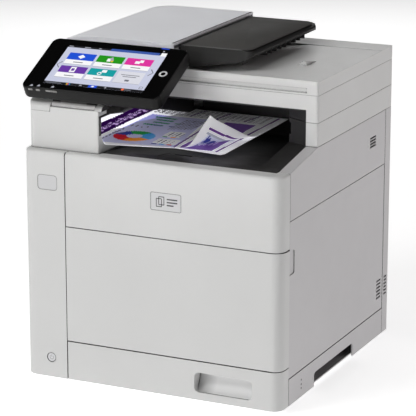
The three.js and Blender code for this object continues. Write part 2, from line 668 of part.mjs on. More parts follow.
function hingeCap() {
  const { x0, y0, z1 } = PEDESTAL;
  const { back, bottom, top } = KNUCKLE;
  const x1 = BARREL.x0 - 0.8;
  const plan = prismZ(roundedRectangle(x0 + 0.2, x1, y0, back, [9, 2, 2, 6]), bottom, top);
  return cut(knuckle(x0, x1).intersect(plan), box(x0 - 1, x1 + 1, y0 + WALL, back + 1, bottom - 1, z1 + FIT));
}

// The panel is drawn flat, with its glass in the plane z = 0 and its lower edge at y = 0, and the
// group that holds it turns it to its angle.
const tilt = THREE.MathUtils.degToRad(PANEL_TILT);
const PANEL_X0 = -1.6; // it overhangs the left side a little
const PANEL_EDGE = { y: 0.5, z: 451 };
panelGroup.position.set(PANEL_X0, PANEL_EDGE.y, PANEL_EDGE.z);
panelGroup.rotation.x = tilt;

const DISPLAY = { x0: 32.5, y0: 12.8, depth: 3 };
const HOME_KEY = { x: 209, y: 60, radius: 6.5 };
const panelPlan = (inset) => roundedRectangle(
  inset, PANEL_WIDTH - inset, inset, PANEL_LENGTH - inset, PANEL_RADIUS - inset,
);
const displayBox = (grow, z0, z1) => box(
  DISPLAY.x0 - grow, DISPLAY.x0 + DISPLAY_WIDTH + grow,
  DISPLAY.y0 - grow, DISPLAY.y0 + DISPLAY_HEIGHT + grow, z0, z1,
);

function panelHousing() {
  const face = -GLASS_THICK - FIT;
  return cut(
    prismZ(panelPlan(0), -PANEL_THICK, face),
    displayBox(FIT, face - DISPLAY.depth - FIT, 0),
    rod('z', HOME_KEY.radius + 0.5, face - 2, 1, HOME_KEY),
    box(12, PANEL_WIDTH - 12, 12, PANEL_LENGTH - 12, -PANEL_THICK + WALL, face - DISPLAY.depth - 2 * FIT)
      .subtract(box(0, PANEL_WIDTH, 0, PANEL_LENGTH, -6, 0)),
    box(60, 90, 40, 60, -PANEL_THICK - 1, -PANEL_THICK + WALL + 1),
  );
}

const panelGlass = () => cut(
  prismZ(panelPlan(0.6), -GLASS_THICK, 0),
  rod('z', HOME_KEY.radius + 0.5, -2, 1, HOME_KEY),
);
const display = () => displayBox(0, -GLASS_THICK - FIT - DISPLAY.depth, -GLASS_THICK - FIT);
const homeKey = () => rod('z', HOME_KEY.radius, -GLASS_THICK - 0.9, 0, HOME_KEY);

function panelArm() {
  const underside = (y) => PANEL_EDGE.z + (y - PANEL_EDGE.y) * Math.tan(tilt) - PANEL_THICK / Math.cos(tilt) - 0.5;
  const [front, back] = [PANEL_AXIS.y - 7, PANEL_AXIS.y + 7];
  const neck = polygon([
    [front, PANEL_AXIS.z + 2], [front, underside(front)], [back + 12, underside(back + 12)],
    [back + 12, underside(back + 12) - 4], [back, PANEL_AXIS.z + 4],
  ]);
  return join(rod('x', BARREL.radius, BARREL.x0, BARREL.x1, PANEL_AXIS, 24), prismX(neck, 56, 100));
}

// ---------------------------------------------------------------- print engine

const ENGINE = { x0: 84, x1: 358, y0: 46, y1: 372 };
const TONER = { first: 119, pitch: 68, z: 214, radius: 22 };
const DRIVE = { x: 320, z: 220 };

function laserUnit() {
  const profile = [[ENGINE.x0, 76], [ENGINE.x1, 76], [ENGINE.x1, 100], [ENGINE.x1 - 14, 112], [ENGINE.x0, 112]];
  return prismY(polygon(profile), ENGINE.y0, ENGINE.y1);
}

function drumUnit() {
  const drums = Array.from({ length: 4 }, (_, i) => (
    rod('y', 15, ENGINE.y0 + 4, ENGINE.y1 - 4, { x: TONER.first + i * TONER.pitch, z: 141 }, 12)
  ));
  return join(box(ENGINE.x0, ENGINE.x1, ENGINE.y0, ENGINE.y1, 118, 138), ...drums);
}

function transferBelt() {
  return prismY(roundedRectangle(ENGINE.x0, 364, 161, 181, 9.9), ENGINE.y0, ENGINE.y1);
}

function tonerCartridge(index) {
  const x = TONER.first + index * TONER.pitch;
  const { z, radius } = TONER;
  const grip = box(x - 12, x + 12, 38, ENGINE.y0 + 1, z - 6, z + 6);
  const keel = box(x - 14, x + 14, ENGINE.y0, ENGINE.y1 - 40, z - radius - 6, z);
  return join(rod('y', radius, ENGINE.y0, ENGINE.y1 - 40, { x, z }), keel, grip);
}

// A roller on a shaft that runs back towards the rear wall of the chassis.
const SHAFT_BACK = CHASSIS.back - CHASSIS.sheet - FIT;

function shaftRoller(x, z, radius, y0, y1, { shaft = 3, back = SHAFT_BACK } = {}) {
  return join(rod('y', radius, y0, y1, { x, z }), rod('y', shaft, y0 - 5, back, { x, z }, 8));
}

function driveGear() {
  const [teeth, radius, depth] = [16, 11, 4];
  const outline = [];
  for (let i = 0; i < teeth; i += 1) {
    for (const [part, r] of [[0, radius], [0.28, radius + 2], [0.5, radius + 2], [0.78, radius]]) {
      const angle = 2 * Math.PI * (i + part) / teeth;
      outline.push([DRIVE.x + r * Math.cos(angle), DRIVE.z + r * Math.sin(angle)]);
    }
  }
  return prismY(polygon(outline), 405, 405 + depth);
}

const driveMotor = () => join(
  rod('y', 18, 412, 428, DRIVE, 20),
  box(DRIVE.x - 24, DRIVE.x + 24, 410, 412.5, DRIVE.z - 14, DRIVE.z + 14),
);

const powerSupply = () => cut(
  box(10, 68, 60, 330, 20, 110),
  ...Array.from({ length: 5 }, (_, i) => box(9, 12, 90 + 40 * i, 110 + 40 * i, 40, 90)),
);

const controlBoard = () => join(
  box(60, 61.6, 60, 380, 150, 330),
  box(52, 61, 120, 160, 220, 260),
  box(48, 61, 300, 372, 170, 186),
);

// An axial fan: a hub with flat blades.
function coolingFan() {
  const { x, z, radius, y0, y1 } = FAN;
  const blades = Array.from({ length: 6 }, (_, i) => {
    const blade = new THREE.BoxGeometry(radius - 8, 2, 9).rotateX(Math.PI / 5).translate(half(radius) + 3, 0, 0);
    return solid(blade.rotateY(i * Math.PI / 3).translate(x, half(y0 + y1), z));
  });
  return join(rod('y', 12, y0, y1, FAN, 12), ...blades);
}

// ---------------------------------------------------------------- placing everything

place('base_frame', baseFrame(), sheetSteel);
placeFeet();
place('left_front_column', leftColumn(), coverWhite);
place('blank_plate', facePlate(BLANK_PLATE), plateGrey);
place('power_button', powerButton(), keyPlastic);
place('upper_front_cover', upperFrontCover(), coverWhite);
place('badge_plate', facePlate(BADGE), plateGrey);
place('front_door', frontDoor(), coverWhite);
place('left_side_cover', leftSideCover(), coverWhite);
place('right_upper_cover', rightUpperCover(), coverGrey);
place('side_door', sideDoor(), coverGrey);
place('right_lower_cover', rightLowerCover(), coverGrey);
place('rear_cover', rearCover(), coverGrey);

place('cassette_front', cassetteFront(), coverWhite);
place('cassette_tub', cassetteTub(), trayPlastic);
place('lift_plate', liftPlate(), sheetSteel);
place('paper_guide_front', sideGuide(50, 1), trayPlastic);
place('paper_guide_rear', sideGuide(318, -1), trayPlastic);
place('paper_guide_end', endGuide(), trayPlastic);
place('pickup_roller', shaftRoller(378, 56.5, 11, 165, 205), rubber);

place('output_tray', outputTray(), darkPlastic);
place('paper_stop', paperStop(), darkPlastic);
place('exit_housing', exitHousing(), coverWhite);
place('bay_ceiling', bayCeiling(), darkPlastic);
place('exit_roller', shaftRoller(385, 391, 7, 155, 340, { back: BAY_BACK - 1 }), rubber);

place('scanner_base', scannerBase(), coverWhite);
place('platen_glass', platenGlass(), clearGlass);
place('scan_carriage', scanCarriage(), darkPlastic);
place('platen_lid', platenLid(), coverWhite);
place('lid_pad', lidPad(), padWhite);
place('lid_hinge_left', lidHinge(HINGE_X[0]), sheetSteel);
place('lid_hinge_right', lidHinge(HINGE_X[1]), sheetSteel);

place('feeder_base', feederBase(), coverGrey);
place('feeder_cover', feederCover(), coverGrey);
place('feeder_roller', feedRoller(), rubber);
place('feeder_tray', feedTray(), trayPlastic);

place('panel_pedestal', pedestal(), coverWhite);
place('hinge_cap', hingeCap(), coverWhite);
place('panel_arm', panelArm(), coverGrey);
place('panel_housing', panelHousing(), darkPlastic, panelGroup);
place('panel_glass', panelGlass(), blackGlass, panelGroup);
place('display', display(), displayGlass, panelGroup);
place('home_key', homeKey(), darkPlastic, panelGroup);

place('laser_unit', laserUnit(), darkPlastic);
place('drum_unit', drumUnit(), darkPlastic);
place('transfer_belt', transferBelt(), darkPlastic);
Object.entries(tonerColours).forEach(([name, colour], index) => {
  place(`toner_${name}`, tonerCartridge(index), plastic(colour));
});
place('transfer_roller', shaftRoller(376, 171, 8, 60, 350), rubber);
place('fuser_roller', shaftRoller(386, 300, 14, 60, 350, { shaft: 5 }), rollerSteel);
place('drive_gear', driveGear(), keyPlastic);
place('drive_motor', driveMotor(), sheetSteel);
place('power_supply', powerSupply(), sheetSteel);
place('control_board', controlBoard(), boardGreen);
place('cooling_fan', coolingFan(), darkPlastic);

export default copier;
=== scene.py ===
import json
import math

import bmesh
import bpy
import numpy as np
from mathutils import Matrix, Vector


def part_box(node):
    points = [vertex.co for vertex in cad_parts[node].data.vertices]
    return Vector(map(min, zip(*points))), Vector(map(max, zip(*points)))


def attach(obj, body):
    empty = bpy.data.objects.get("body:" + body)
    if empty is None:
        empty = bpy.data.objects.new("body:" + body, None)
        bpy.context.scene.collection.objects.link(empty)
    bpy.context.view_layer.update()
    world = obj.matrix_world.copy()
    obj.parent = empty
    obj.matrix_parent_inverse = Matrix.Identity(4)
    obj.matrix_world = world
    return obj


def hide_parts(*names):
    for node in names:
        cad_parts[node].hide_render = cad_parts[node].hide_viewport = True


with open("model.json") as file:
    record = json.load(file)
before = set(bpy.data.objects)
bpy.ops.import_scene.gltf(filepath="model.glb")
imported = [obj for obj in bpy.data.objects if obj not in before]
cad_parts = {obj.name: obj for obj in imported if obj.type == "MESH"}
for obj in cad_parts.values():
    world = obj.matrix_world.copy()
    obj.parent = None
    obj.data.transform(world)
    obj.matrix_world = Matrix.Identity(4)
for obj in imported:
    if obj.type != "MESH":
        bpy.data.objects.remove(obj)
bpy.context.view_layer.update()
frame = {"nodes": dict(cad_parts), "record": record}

# ------------
# Places. All numbers below are millimetres in the cabinet's corner frame: x from the left side,
# y from the front, z from the floor. at() turns them into the row frame, in metres.
# ------------

MM = 0.001
CABINET_RIGHT = 420.0
ORIGIN = Vector((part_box("left_side_cover")[0].x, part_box("front_door")[0].y, 0.0))


def at(x, y, z):
    return ORIGIN + Vector((x, y, z)) * MM


def corner_box(node):
    """A CAD node's box in the corner frame, in millimetres."""
    low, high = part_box(node)
    return (low - ORIGIN) / MM, (high - ORIGIN) / MM


# ------------
# Materials. Reaches are in metres. Painted shade: occlusion under SEAM_DEEP darkens a seam or crevice fully,
# over SEAM_OPEN a face is left clear.
# ------------

WEAR_REACH = 0.0012
SEAM_REACH = 0.0045
SEAM_DEEP, SEAM_OPEN = 0.36, 0.72
SEAM_SHADE_TINT = 0.05


class Nodes:
    """A small helper that adds and links shader nodes."""

    def __init__(self, name):
        self.material = bpy.data.materials.new(name)
        self.material.use_nodes = True
        self.tree = self.material.node_tree
        self.shader = self.tree.nodes["Principled BSDF"]
        self.place = None

    def add(self, kind, **settings):
        node = self.tree.nodes.new(kind)
        for key, value in settings.items():
            if key in node.inputs:
                node.inputs[key].default_value = value
            else:
                setattr(node, key, value)
        return node

    def link(self, source, target):
        self.tree.links.new(source, target)

    def noise(self, scale, detail=2.0, roughness=0.5):
        if self.place is None:
            self.place = self.add("ShaderNodeTexCoord").outputs["Object"]
        node = self.add("ShaderNodeTexNoise", Scale=scale, Detail=detail, Roughness=roughness)
        self.link(self.place, node.inputs["Vector"])
        return node.outputs["Fac"]

    def spread(self, value, low, high, start=0.3, end=0.7):
        """Maps a value that runs from start to end onto the range low to high."""
        node = self.add("ShaderNodeMapRange")
        ends = {"From Min": start, "From Max": end, "To Min": low, "To Max": high}
        for key, number in ends.items():
            node.inputs[key].default_value = number
        self.link(value, node.inputs["Value"])
        return node.outputs["Result"]

    def mix(self, factor, first, second, blend="MIX"):
        node = self.add("ShaderNodeMix", data_type="RGBA", blend_type=blend)
        sockets = (node.inputs[0], node.inputs[6], node.inputs[7])
        for socket, value in zip(sockets, (factor, first, second)):
            if hasattr(value, "links"):
                self.link(value, socket)
            elif isinstance(value, tuple):
                socket.default_value = (*value, 1.0)
            else:
                socket.default_value = value
        return node.outputs[2]

    def bump(self, height, distance, strength=1.0):
        node = self.add("ShaderNodeBump", Distance=distance, Strength=strength)
        self.link(height, node.inputs["Height"])
        return node

    def edge_mask(self, radius):
        """1 on worn outer edges, 0 on flat faces, from the rounded normal."""
        rounded = self.add("ShaderNodeBevel", samples=4, Radius=radius)
        geometry = self.add("ShaderNodeNewGeometry")
        dot = self.add("ShaderNodeVectorMath", operation="DOT_PRODUCT")
        self.link(rounded.outputs["Normal"], dot.inputs[0])
        self.link(geometry.outputs["Normal"], dot.inputs[1])
        return self.spread(dot.outputs["Value"], 1.0, 0.0, 0.9, 0.998)

    def painted_crevice_shade(self, reach):
        """Painted shade mask from occlusion: 1 deep in narrow gaps and crevices, 0 on open faces."""
        occlusion = self.add("ShaderNodeAmbientOcclusion", samples=6, Distance=reach)
        return self.spread(occlusion.outputs["AO"], 1.0, 0.0, SEAM_DEEP, SEAM_OPEN)

    def fade(self, axis, low, high, first=0.0, last=1.0):
        """Runs from the first value to the last along an axis, between two places in metres."""
        place = self.add("ShaderNodeNewGeometry").outputs["Position"]
        split = self.add("ShaderNodeSeparateXYZ")
        self.link(place, split.inputs["Vector"])
        return self.spread(split.outputs[axis], first, last, low, high)


def moulded(name, color, roughness=0.5, tone=0.02, grain=0.00002, wear=0.04, specular=0.45, shade=None):
    """Moulded plastic: fine grain, slight tone and gloss drift, paler worn edges, and painted shade that
    darkens seams and crevices.
    """
    n = Nodes(name)
    drift = n.spread(n.noise(6.0, 3.0), -tone, tone)
    hsv = n.add("ShaderNodeHueSaturation")
    hsv.inputs["Color"].default_value = (*color, 1.0)
    value = n.add("ShaderNodeMath", operation="ADD")
    value.inputs[1].default_value = 1.0
    n.link(drift, value.inputs[0])
    n.link(value.outputs[0], hsv.inputs["Value"])
    worn = n.add("ShaderNodeMath", operation="MULTIPLY")
    n.link(n.edge_mask(WEAR_REACH), worn.inputs[0])
    worn.inputs[1].default_value = wear
    paler = tuple(min(1.0, c * 1.12 + 0.03) for c in color)
    surface = n.mix(worn.outputs[0], hsv.outputs["Color"], paler)
    if shade:
        surface = shade(n, surface)
    # Painted shade: seams and crevices darken towards a few per cent of the colour.
    seam_shade = tuple(c * SEAM_SHADE_TINT for c in color)
    n.link(n.mix(n.painted_crevice_shade(SEAM_REACH), surface, seam_shade), n.shader.inputs["Base Color"])
    smudges = n.noise(28.0, 4.0, 0.6)
    n.link(n.spread(smudges, roughness - 0.05, roughness + 0.06), n.shader.inputs["Roughness"])
    fine = n.bump(n.noise(2400.0, 2.0), grain)
    broad = n.bump(n.noise(35.0, 1.0), grain * 1.5, 0.6)
    n.link(broad.outputs["Normal"], fine.inputs["Normal"])
    n.link(fine.outputs["Normal"], n.shader.inputs["Normal"])
    n.shader.inputs["Specular IOR Level"].default_value = specular
    return n.material


def brushed_metal(name, color, roughness, metallic=1.0):
    """Metal with fine lines along its length."""
    n = Nodes(name)
    n.shader.inputs["Metallic"].default_value = metallic
    stretch = n.add("ShaderNodeMapping", vector_type="POINT")
    stretch.inputs["Scale"].default_value = (60.0, 900.0, 900.0)
    n.link(n.add("ShaderNodeTexCoord").outputs["Object"], stretch.inputs["Vector"])
    lines = n.add("ShaderNodeTexNoise", Scale=1.0, Detail=3.0)
    n.link(stretch.outputs["Vector"], lines.inputs["Vector"])
    darker = tuple(0.8 * c for c in color)
    n.link(n.mix(n.spread(lines.outputs["Fac"], 0.0, 1.0), darker, color), n.shader.inputs["Base Color"])
    n.link(n.spread(n.noise(40.0, 3.0), roughness - 0.08, roughness + 0.1), n.shader.inputs["Roughness"])
    n.link(n.bump(lines.outputs["Fac"], 0.00001).outputs["Normal"], n.shader.inputs["Normal"])
    return n.material


def polished(name, color, roughness=0.06, coat=0.6):
    """Glossy black glass or gloss plastic with faint finger smudges."""
    n = Nodes(name)
    n.shader.inputs["Base Color"].default_value = (*color, 1.0)
    smudges = n.spread(n.noise(24.0, 5.0, 0.7), roughness, roughness + 0.1, 0.45, 0.8)
    n.link(smudges, n.shader.inputs["Roughness"])
    n.shader.inputs["Coat Weight"].default_value = coat
    n.shader.inputs["Coat Roughness"].default_value = 0.03
    n.shader.inputs["Specular IOR Level"].default_value = 0.22
    n.link(n.bump(n.noise(9.0, 1.0), 0.00004, 0.4).outputs["Normal"], n.shader.inputs["Normal"])
    return n.material


def rubbery(name, color):
    """Matt rubber with a fine crazed grain."""
    n = Nodes(name)
    dusty = tuple(c * 1.5 + 0.01 for c in color)
    n.link(n.mix(n.noise(90.0, 4.0), color, dusty), n.shader.inputs["Base Color"])
    n.link(n.spread(n.noise(120.0), 0.7, 0.9), n.shader.inputs["Roughness"])
    n.link(n.bump(n.noise(700.0, 2.0), 0.00008).outputs["Normal"], n.shader.inputs["Normal"])
    return n.material


def clear_glass(name):
    """Faintly green float glass with a few wiped streaks."""
    n = Nodes(name)
    n.shader.inputs["Base Color"].default_value = (0.9, 0.96, 0.94, 1.0)
    n.shader.inputs["Transmission Weight"].default_value = 1.0
    n.shader.inputs["IOR"].default_value = 1.5
    n.link(n.spread(n.noise(30.0, 5.0), 0.01, 0.06, 0.5, 0.8), n.shader.inputs["Roughness"])
    return n.material


def circuit(name):
    """Green solder mask with paler copper tracks under it."""
    n = Nodes(name)
    tracks = n.add("ShaderNodeTexBrick", Scale=60.0)
    n.link(n.add("ShaderNodeTexCoord").outputs["Object"], tracks.inputs["Vector"])
    board = n.mix(tracks.outputs["Fac"], (0.01, 0.12, 0.05), (0.05, 0.28, 0.12))
    n.link(board, n.shader.inputs["Base Color"])
    n.link(n.spread(n.noise(80.0), 0.3, 0.45), n.shader.inputs["Roughness"])
    return n.material


WHITE = moulded("white_cover", (0.66, 0.66, 0.655), roughness=0.46)
GREY = moulded("grey_cover", (0.60, 0.59, 0.60), roughness=0.48)
DARK = moulded("dark_plastic", (0.018, 0.017, 0.017), roughness=0.5, tone=0.08, wear=0.25)
TRAY = moulded("tray_plastic", (0.026, 0.025, 0.025), roughness=0.48, tone=0.06, wear=0.2, specular=0.35)
PLATE = moulded("label_plate", (0.62, 0.62, 0.63), roughness=0.4, grain=0.000005)
KEY = moulded("key_plastic", (0.70, 0.70, 0.72), roughness=0.35)
FOAM = moulded("lid_pad", (0.82, 0.82, 0.81), roughness=0.8, grain=0.0001)
BLACK_GLASS = polished("black_glass", (0.002, 0.002, 0.002), roughness=0.1, coat=0.0)
RUBBER = rubbery("rubber", (0.02, 0.02, 0.02))
STEEL = brushed_metal("sheet_steel", (0.62, 0.62, 0.63), 0.5, 0.25)
ROLLER = brushed_metal("roller_steel", (0.65, 0.66, 0.68), 0.25)
GLASS = clear_glass("platen_glass")
BOARD = circuit("circuit_board")
TONER = {
    "toner_black": moulded("toner_black", (0.02, 0.02, 0.02), wear=0.3),
    "toner_cyan": moulded("toner_cyan", (0.01, 0.20, 0.42)),
    "toner_magenta": moulded("toner_magenta", (0.36, 0.02, 0.13)),
    "toner_yellow": moulded("toner_yellow", (0.62, 0.42, 0.02)),
}
SLOT_MATERIALS = {
    "white_cover": WHITE, "grey_cover": GREY, "dark_plastic": DARK, "tray_plastic": TRAY,
    "label_plate": PLATE, "key_plastic": KEY, "black_glass": BLACK_GLASS, "display_panel": BLACK_GLASS,
    "platen_glass": GLASS, "lid_pad": FOAM, "rubber": RUBBER, "sheet_steel": STEEL,
    "roller_steel": ROLLER, "circuit_board": BOARD, **TONER,
}

# ------------
# CAD nodes that keep their shape: rounded edges as modifiers, and a procedural material
# ------------

EDGE_RADII = {"white_cover": 0.8, "grey_cover": 0.8, "dark_plastic": 0.6, "tray_plastic": 0.8}
HARD_EDGE_RADIUS = 0.3
SHARP_ANGLE = math.radians(30)
FLAT_ANGLE = math.radians(0.5)
WELD = 0.00001


def shade_smooth(mesh):
    for polygon in mesh.polygons:
        polygon.use_smooth = True


def round_edges(obj, radius):
    """Rounds every sharp edge with a modifier, and keeps the faces beside it flat in shading."""
    bevel = obj.modifiers.new("edges", "BEVEL")
    bevel.width = radius * MM
    bevel.segments = 2
    bevel.limit_method = "ANGLE"
    bevel.angle_limit = SHARP_ANGLE
    normals = obj.modifiers.new("normals", "WEIGHTED_NORMAL")
    normals.keep_sharp = True


def soften(obj, radius):
    """Joins the imported faces of a CAD node and rounds its sharp edges."""
    weld = obj.modifiers.new("weld", "WELD")
    weld.merge_threshold = WELD
    flat = obj.modifiers.new("flat", "DECIMATE")
    flat.decimate_type = "DISSOLVE"
    flat.angle_limit = FLAT_ANGLE
    round_edges(obj, radius)
    shade_smooth(obj.data)


def dress(node, material):
    """Gives a CAD node its one material."""
    slots = frame["nodes"][node].data.materials
    slots.clear()
    slots.append(material)


def dress_nodes():
    slots = {part["node"]: part["material_slot"] for part in frame["record"]["subparts"]}
    for name, obj in frame["nodes"].items():
        slot = slots[name]
        dress(name, SLOT_MATERIALS[slot])
        soften(obj, EDGE_RADII.get(slot, HARD_EDGE_RADIUS))


dress_nodes()

# ------------
# Mesh building
# ------------


def add_piece(name, build, materials, body, replaces=()):
    """Makes an object from a bmesh, lets it ride on a CAD body, and hides the nodes it stands for."""
    mesh = bpy.data.meshes.new(name)
    bmesh.ops.recalc_face_normals(build, faces=build.faces)
    build.to_mesh(mesh)
    build.free()
    for material in materials:
        mesh.materials.append(material)
    shade_smooth(mesh)
    obj = bpy.data.objects.new(name, mesh)
    bpy.context.scene.collection.objects.link(obj)
    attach(obj, body)
    if replaces:
        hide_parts(*replaces)
    return obj


def add_loft(build, rings, place, caps=(True, True)):
    """Joins rings of points into a skin. place() turns each point into the row frame."""
    loops = [[build.verts.new(place(*point)) for point in ring] for ring in rings]
    for near, far in zip(loops, loops[1:]):
        for i in range(len(near)):
            j = (i + 1) % len(near)
            build.faces.new((near[i], near[j], far[j], far[i]))
    if caps[0]:
        build.faces.new(list(reversed(loops[0])))
    if caps[1]:
        build.faces.new(loops[-1])


def rounded(x0, x1, y0, y1, radii, steps=6):
    """Points round a rectangle whose corners have radii [low low, high low, high high, low high]."""
    if not isinstance(radii, (list, tuple)):
        radii = [radii] * 4
    corners = ((x0, y0, 1, 1, 180), (x1, y0, -1, 1, 270), (x1, y1, -1, -1, 0), (x0, y1, 1, -1, 90))
    points = []
    for (x, y, sx, sy, start), radius in zip(corners, radii):
        for i in range(steps + 1):
            angle = math.radians(start + 90 * i / steps)
            across, along = sx + math.cos(angle), sy + math.sin(angle)
            points.append((x + radius * across, y + radius * along))
    return points


def ring_points(x, y, radius, steps):
    """Points round a circle."""
    turns = (2 * math.pi * i / steps for i in range(steps))
    return [(x + radius * math.cos(t), y + radius * math.sin(t)) for t in turns]


def add_slab(build, outline, low, high, place, edge=0.0):
    """A plate with the given outline, with its upper edge broken by a small chamfer."""
    rings = [[(a, b, low) for a, b in outline], [(a, b, high - edge) for a, b in outline]]
    if edge:
        middle_a = sum(a for a, b in outline) / len(outline)
        middle_b = sum(b for a, b in outline) / len(outline)
        inner = []
        for a, b in outline:
            reach = max(1e-6, math.hypot(a - middle_a, b - middle_b))
            share = 1 - edge / reach
            inner.append((middle_a + (a - middle_a) * share, middle_b + (b - middle_b) * share, high))
        rings.append(inner)
    add_loft(build, rings, place)


# ------------
# Front covers whose rim at the output bay has a large fillet
# ------------

RIM_RADIUS = 4.5
RIM_SEGMENTS = 5
SHELL_EDGE_RADIUS = 0.7


def rim_edges(build, height, outward):
    """Edges at a height, between a top face and an outer wall face that looks outward."""
    found = []
    for edge in build.edges:
        if len(edge.link_faces) != 2 or any(vert.co.z < height - 0.0001 for vert in edge.verts):
            continue
        normals = sorted((face.normal for face in edge.link_faces), key=lambda n: n.z)
        if normals[1].z > 0.9 and abs(normals[0].z) < 0.2 and normals[0].dot(outward) > 0.65:
            found.append(edge)
    return found


def remodel_rim(node, outward):
    """A copy of a cover, with the top edges on its outward side rounded by the rim's radius."""
    build = bmesh.new()
    build.from_mesh(frame["nodes"][node].data)
    bmesh.ops.remove_doubles(build, verts=build.verts, dist=WELD)
    bmesh.ops.dissolve_limit(build, angle_limit=FLAT_ANGLE, verts=build.verts, edges=build.edges)
    build.normal_update()
    top = max(vert.co.z for vert in build.verts)
    edges = rim_edges(build, top, Vector(outward).normalized())
    bmesh.ops.bevel(
        build, geom=edges, offset=RIM_RADIUS * MM, segments=RIM_SEGMENTS, profile=0.5,
        affect="EDGES", clamp_overlap=True,
    )
    obj = add_piece(node + "_shell", build, [WHITE], "root", replaces=[node])
    round_edges(obj, SHELL_EDGE_RADIUS)


remodel_rim("left_front_column", (-1, -1, 0))
remodel_rim("upper_front_cover", (1, -1, 0))

# ------------
# Touch panel, in its own frame: u to the right, v up the slope, w out of the glass, in millimetres
# ------------

PANEL_TILT = math.radians(26.4)
PANEL_WIDTH, PANEL_LENGTH, PANEL_THICK, PANEL_RADIUS = 226.0, 121.4, 22.0, 12.0
PANEL_ORIGIN = Vector((-1.6, 0.5, 451.0))
BACK_ROUND, RIM_ROUND = 5.0, 1.2
GLASS_THICK = 1.1
SCREEN = (32.5, 196.0, 12.8, 105.8)
KEY_CENTRE, KEY_RADIUS, KEY_GAP = (209.0, 60.0), 6.5, 0.3
KEY_HOLE_RADIUS = 3.7
WINDOW_SPANS = ((13.6, 20.6), (26.3, 33.0), (42.3, 61.3))
WINDOW_LOW, WINDOW_HIGH = -5.6, -2.2

BEZEL = moulded("panel_bezel", (0.005, 0.0048, 0.0048), roughness=0.42, tone=0.06, wear=0.08, specular=0.22)
WINDOW = moulded("signal_window", (0.20, 0.195, 0.19), roughness=0.3, grain=0.000005)


def on_panel(u, v, w):
    y = PANEL_ORIGIN.y + v * math.cos(PANEL_TILT) - w * math.sin(PANEL_TILT)
    z = PANEL_ORIGIN.z + v * math.sin(PANEL_TILT) + w * math.cos(PANEL_TILT)
    return at(PANEL_ORIGIN.x + u, y, z)


def panel_ring(inset, w):
    outline = rounded(
        inset, PANEL_WIDTH - inset, inset, PANEL_LENGTH - inset, max(1.0, PANEL_RADIUS - inset), 8,
    )
    return [(u, v, w) for u, v in outline]


def panel_body():
    """The matte tub: a soft round under its rim and a larger one round its back."""
    build = bmesh.new()
    rings = []
    for i in range(7):
        angle = math.radians(90 * i / 6)
        inset = BACK_ROUND * (1 - math.sin(angle))
        rings.append(panel_ring(inset, -PANEL_THICK + BACK_ROUND * (1 - math.cos(angle))))
    for i in range(5):
        angle = math.radians(90 * i / 4)
        inset = RIM_ROUND * (1 - math.cos(angle))
        rings.append(panel_ring(inset, -1.0 - RIM_ROUND * (1 - math.sin(angle))))
    add_loft(build, rings, on_panel)
    add_piece("panel_tub", build, [BEZEL], "panel", replaces=["panel_housing"])


def panel_face():
    """Black glass to the edge, a little domed at its rim, with a blind hole for the home key."""
    build = bmesh.new()
    edge = ((1.2, -GLASS_THICK), (1.0, -0.4), (1.3, -0.12), (1.9, 0.0))
    rings = [panel_ring(inset, w) for inset, w in edge]
    add_loft(build, rings, on_panel, caps=(True, False))
    hole = ring_points(*KEY_CENTRE, KEY_RADIUS + KEY_GAP, 36)
    depth = GLASS_THICK - 0.05
    add_loft(build, [[(*p, 0.0) for p in hole], [(*p, -depth) for p in hole]], on_panel, caps=(False, True))
    rims = [edge for edge in build.edges if len(edge.link_faces) == 1]
    bmesh.ops.triangle_fill(build, edges=rims, use_beauty=True)
    glass = add_piece(
        "panel_front_glass", build, [BLACK_GLASS], "panel", replaces=["panel_glass"],
    )
    for polygon in glass.data.polygons:
        polygon.use_smooth = len(polygon.vertices) == 4


def panel_windows():
    """Three signal windows in the front edge, below their small symbols."""
    build = bmesh.new()

    def on_edge(u, w, out):
        return on_panel(u, -out, w)

    for left, right in WINDOW_SPANS:
        outline = rounded(left, right, WINDOW_LOW, WINDOW_HIGH, 0.7, 3)
        add_slab(build, outline, -0.4, 0.12, on_edge, edge=0.1)
    add_piece("panel_signal_windows", build, [WINDOW], "panel")


def lit(name, color, strength=1.0):
    """A lit area of the display, with the faint mesh of its pixels and a slight fall-off."""
    n = Nodes(name)
    mesh = n.add("ShaderNodeTexChecker", Scale=2200.0)
    n.link(n.add("ShaderNodeTexCoord").outputs["Object"], mesh.inputs["Vector"])
    dimmer = tuple(c * 0.93 for c in color)
    n.link(n.mix(mesh.outputs["Fac"], dimmer, color), n.shader.inputs["Emission Color"])
    n.link(n.spread(n.noise(12.0), strength * 0.97, strength), n.shader.inputs["Emission Strength"])
    n.shader.inputs["Base Color"].default_value = (0.01, 0.01, 0.01, 1.0)
    n.shader.inputs["Roughness"].default_value = 0.15
    n.shader.inputs["Specular IOR Level"].default_value = 0.1
    return n.material


def tone(red, green, blue):
    """A screen colour, 0 to 255, as linear light."""
    linear = []
    for level in (red, green, blue):
        share = level / 255
        linear.append(((share + 0.055) / 1.055) ** 2.4 if level > 10 else share / 12.92)
    return tuple(linear)


SCREEN_COLOURS = {
    "back": (203, 207, 228), "white": (252, 252, 254), "bar": (22, 22, 26), "blue": (25, 80, 215),
    "green": (30, 150, 20), "pink": (225, 50, 160), "purple": (105, 55, 165), "teal": (15, 160, 165),
    "grey": (222, 223, 232), "status": (60, 90, 170), "ink": (110, 112, 122), "orange": (245, 110, 60),
    "yellow": (240, 200, 40), "magenta": (220, 40, 130), "cyan": (30, 160, 220), "pale": (170, 172, 182),
    "led": (40, 90, 255),
}
SCREEN_LIFT, LAYER = 0.03, 0.05
TILE_COLUMNS = ((42.8, 87.8), (91.9, 135.3), (138.9, 182.3))
TILE_ROWS = (("blue", "green", "pink"), ("purple", "teal", "grey"))
ROW_HEIGHTS = ((62.8, 72.8, 89.1), (30.6, 41.7, 57.5))


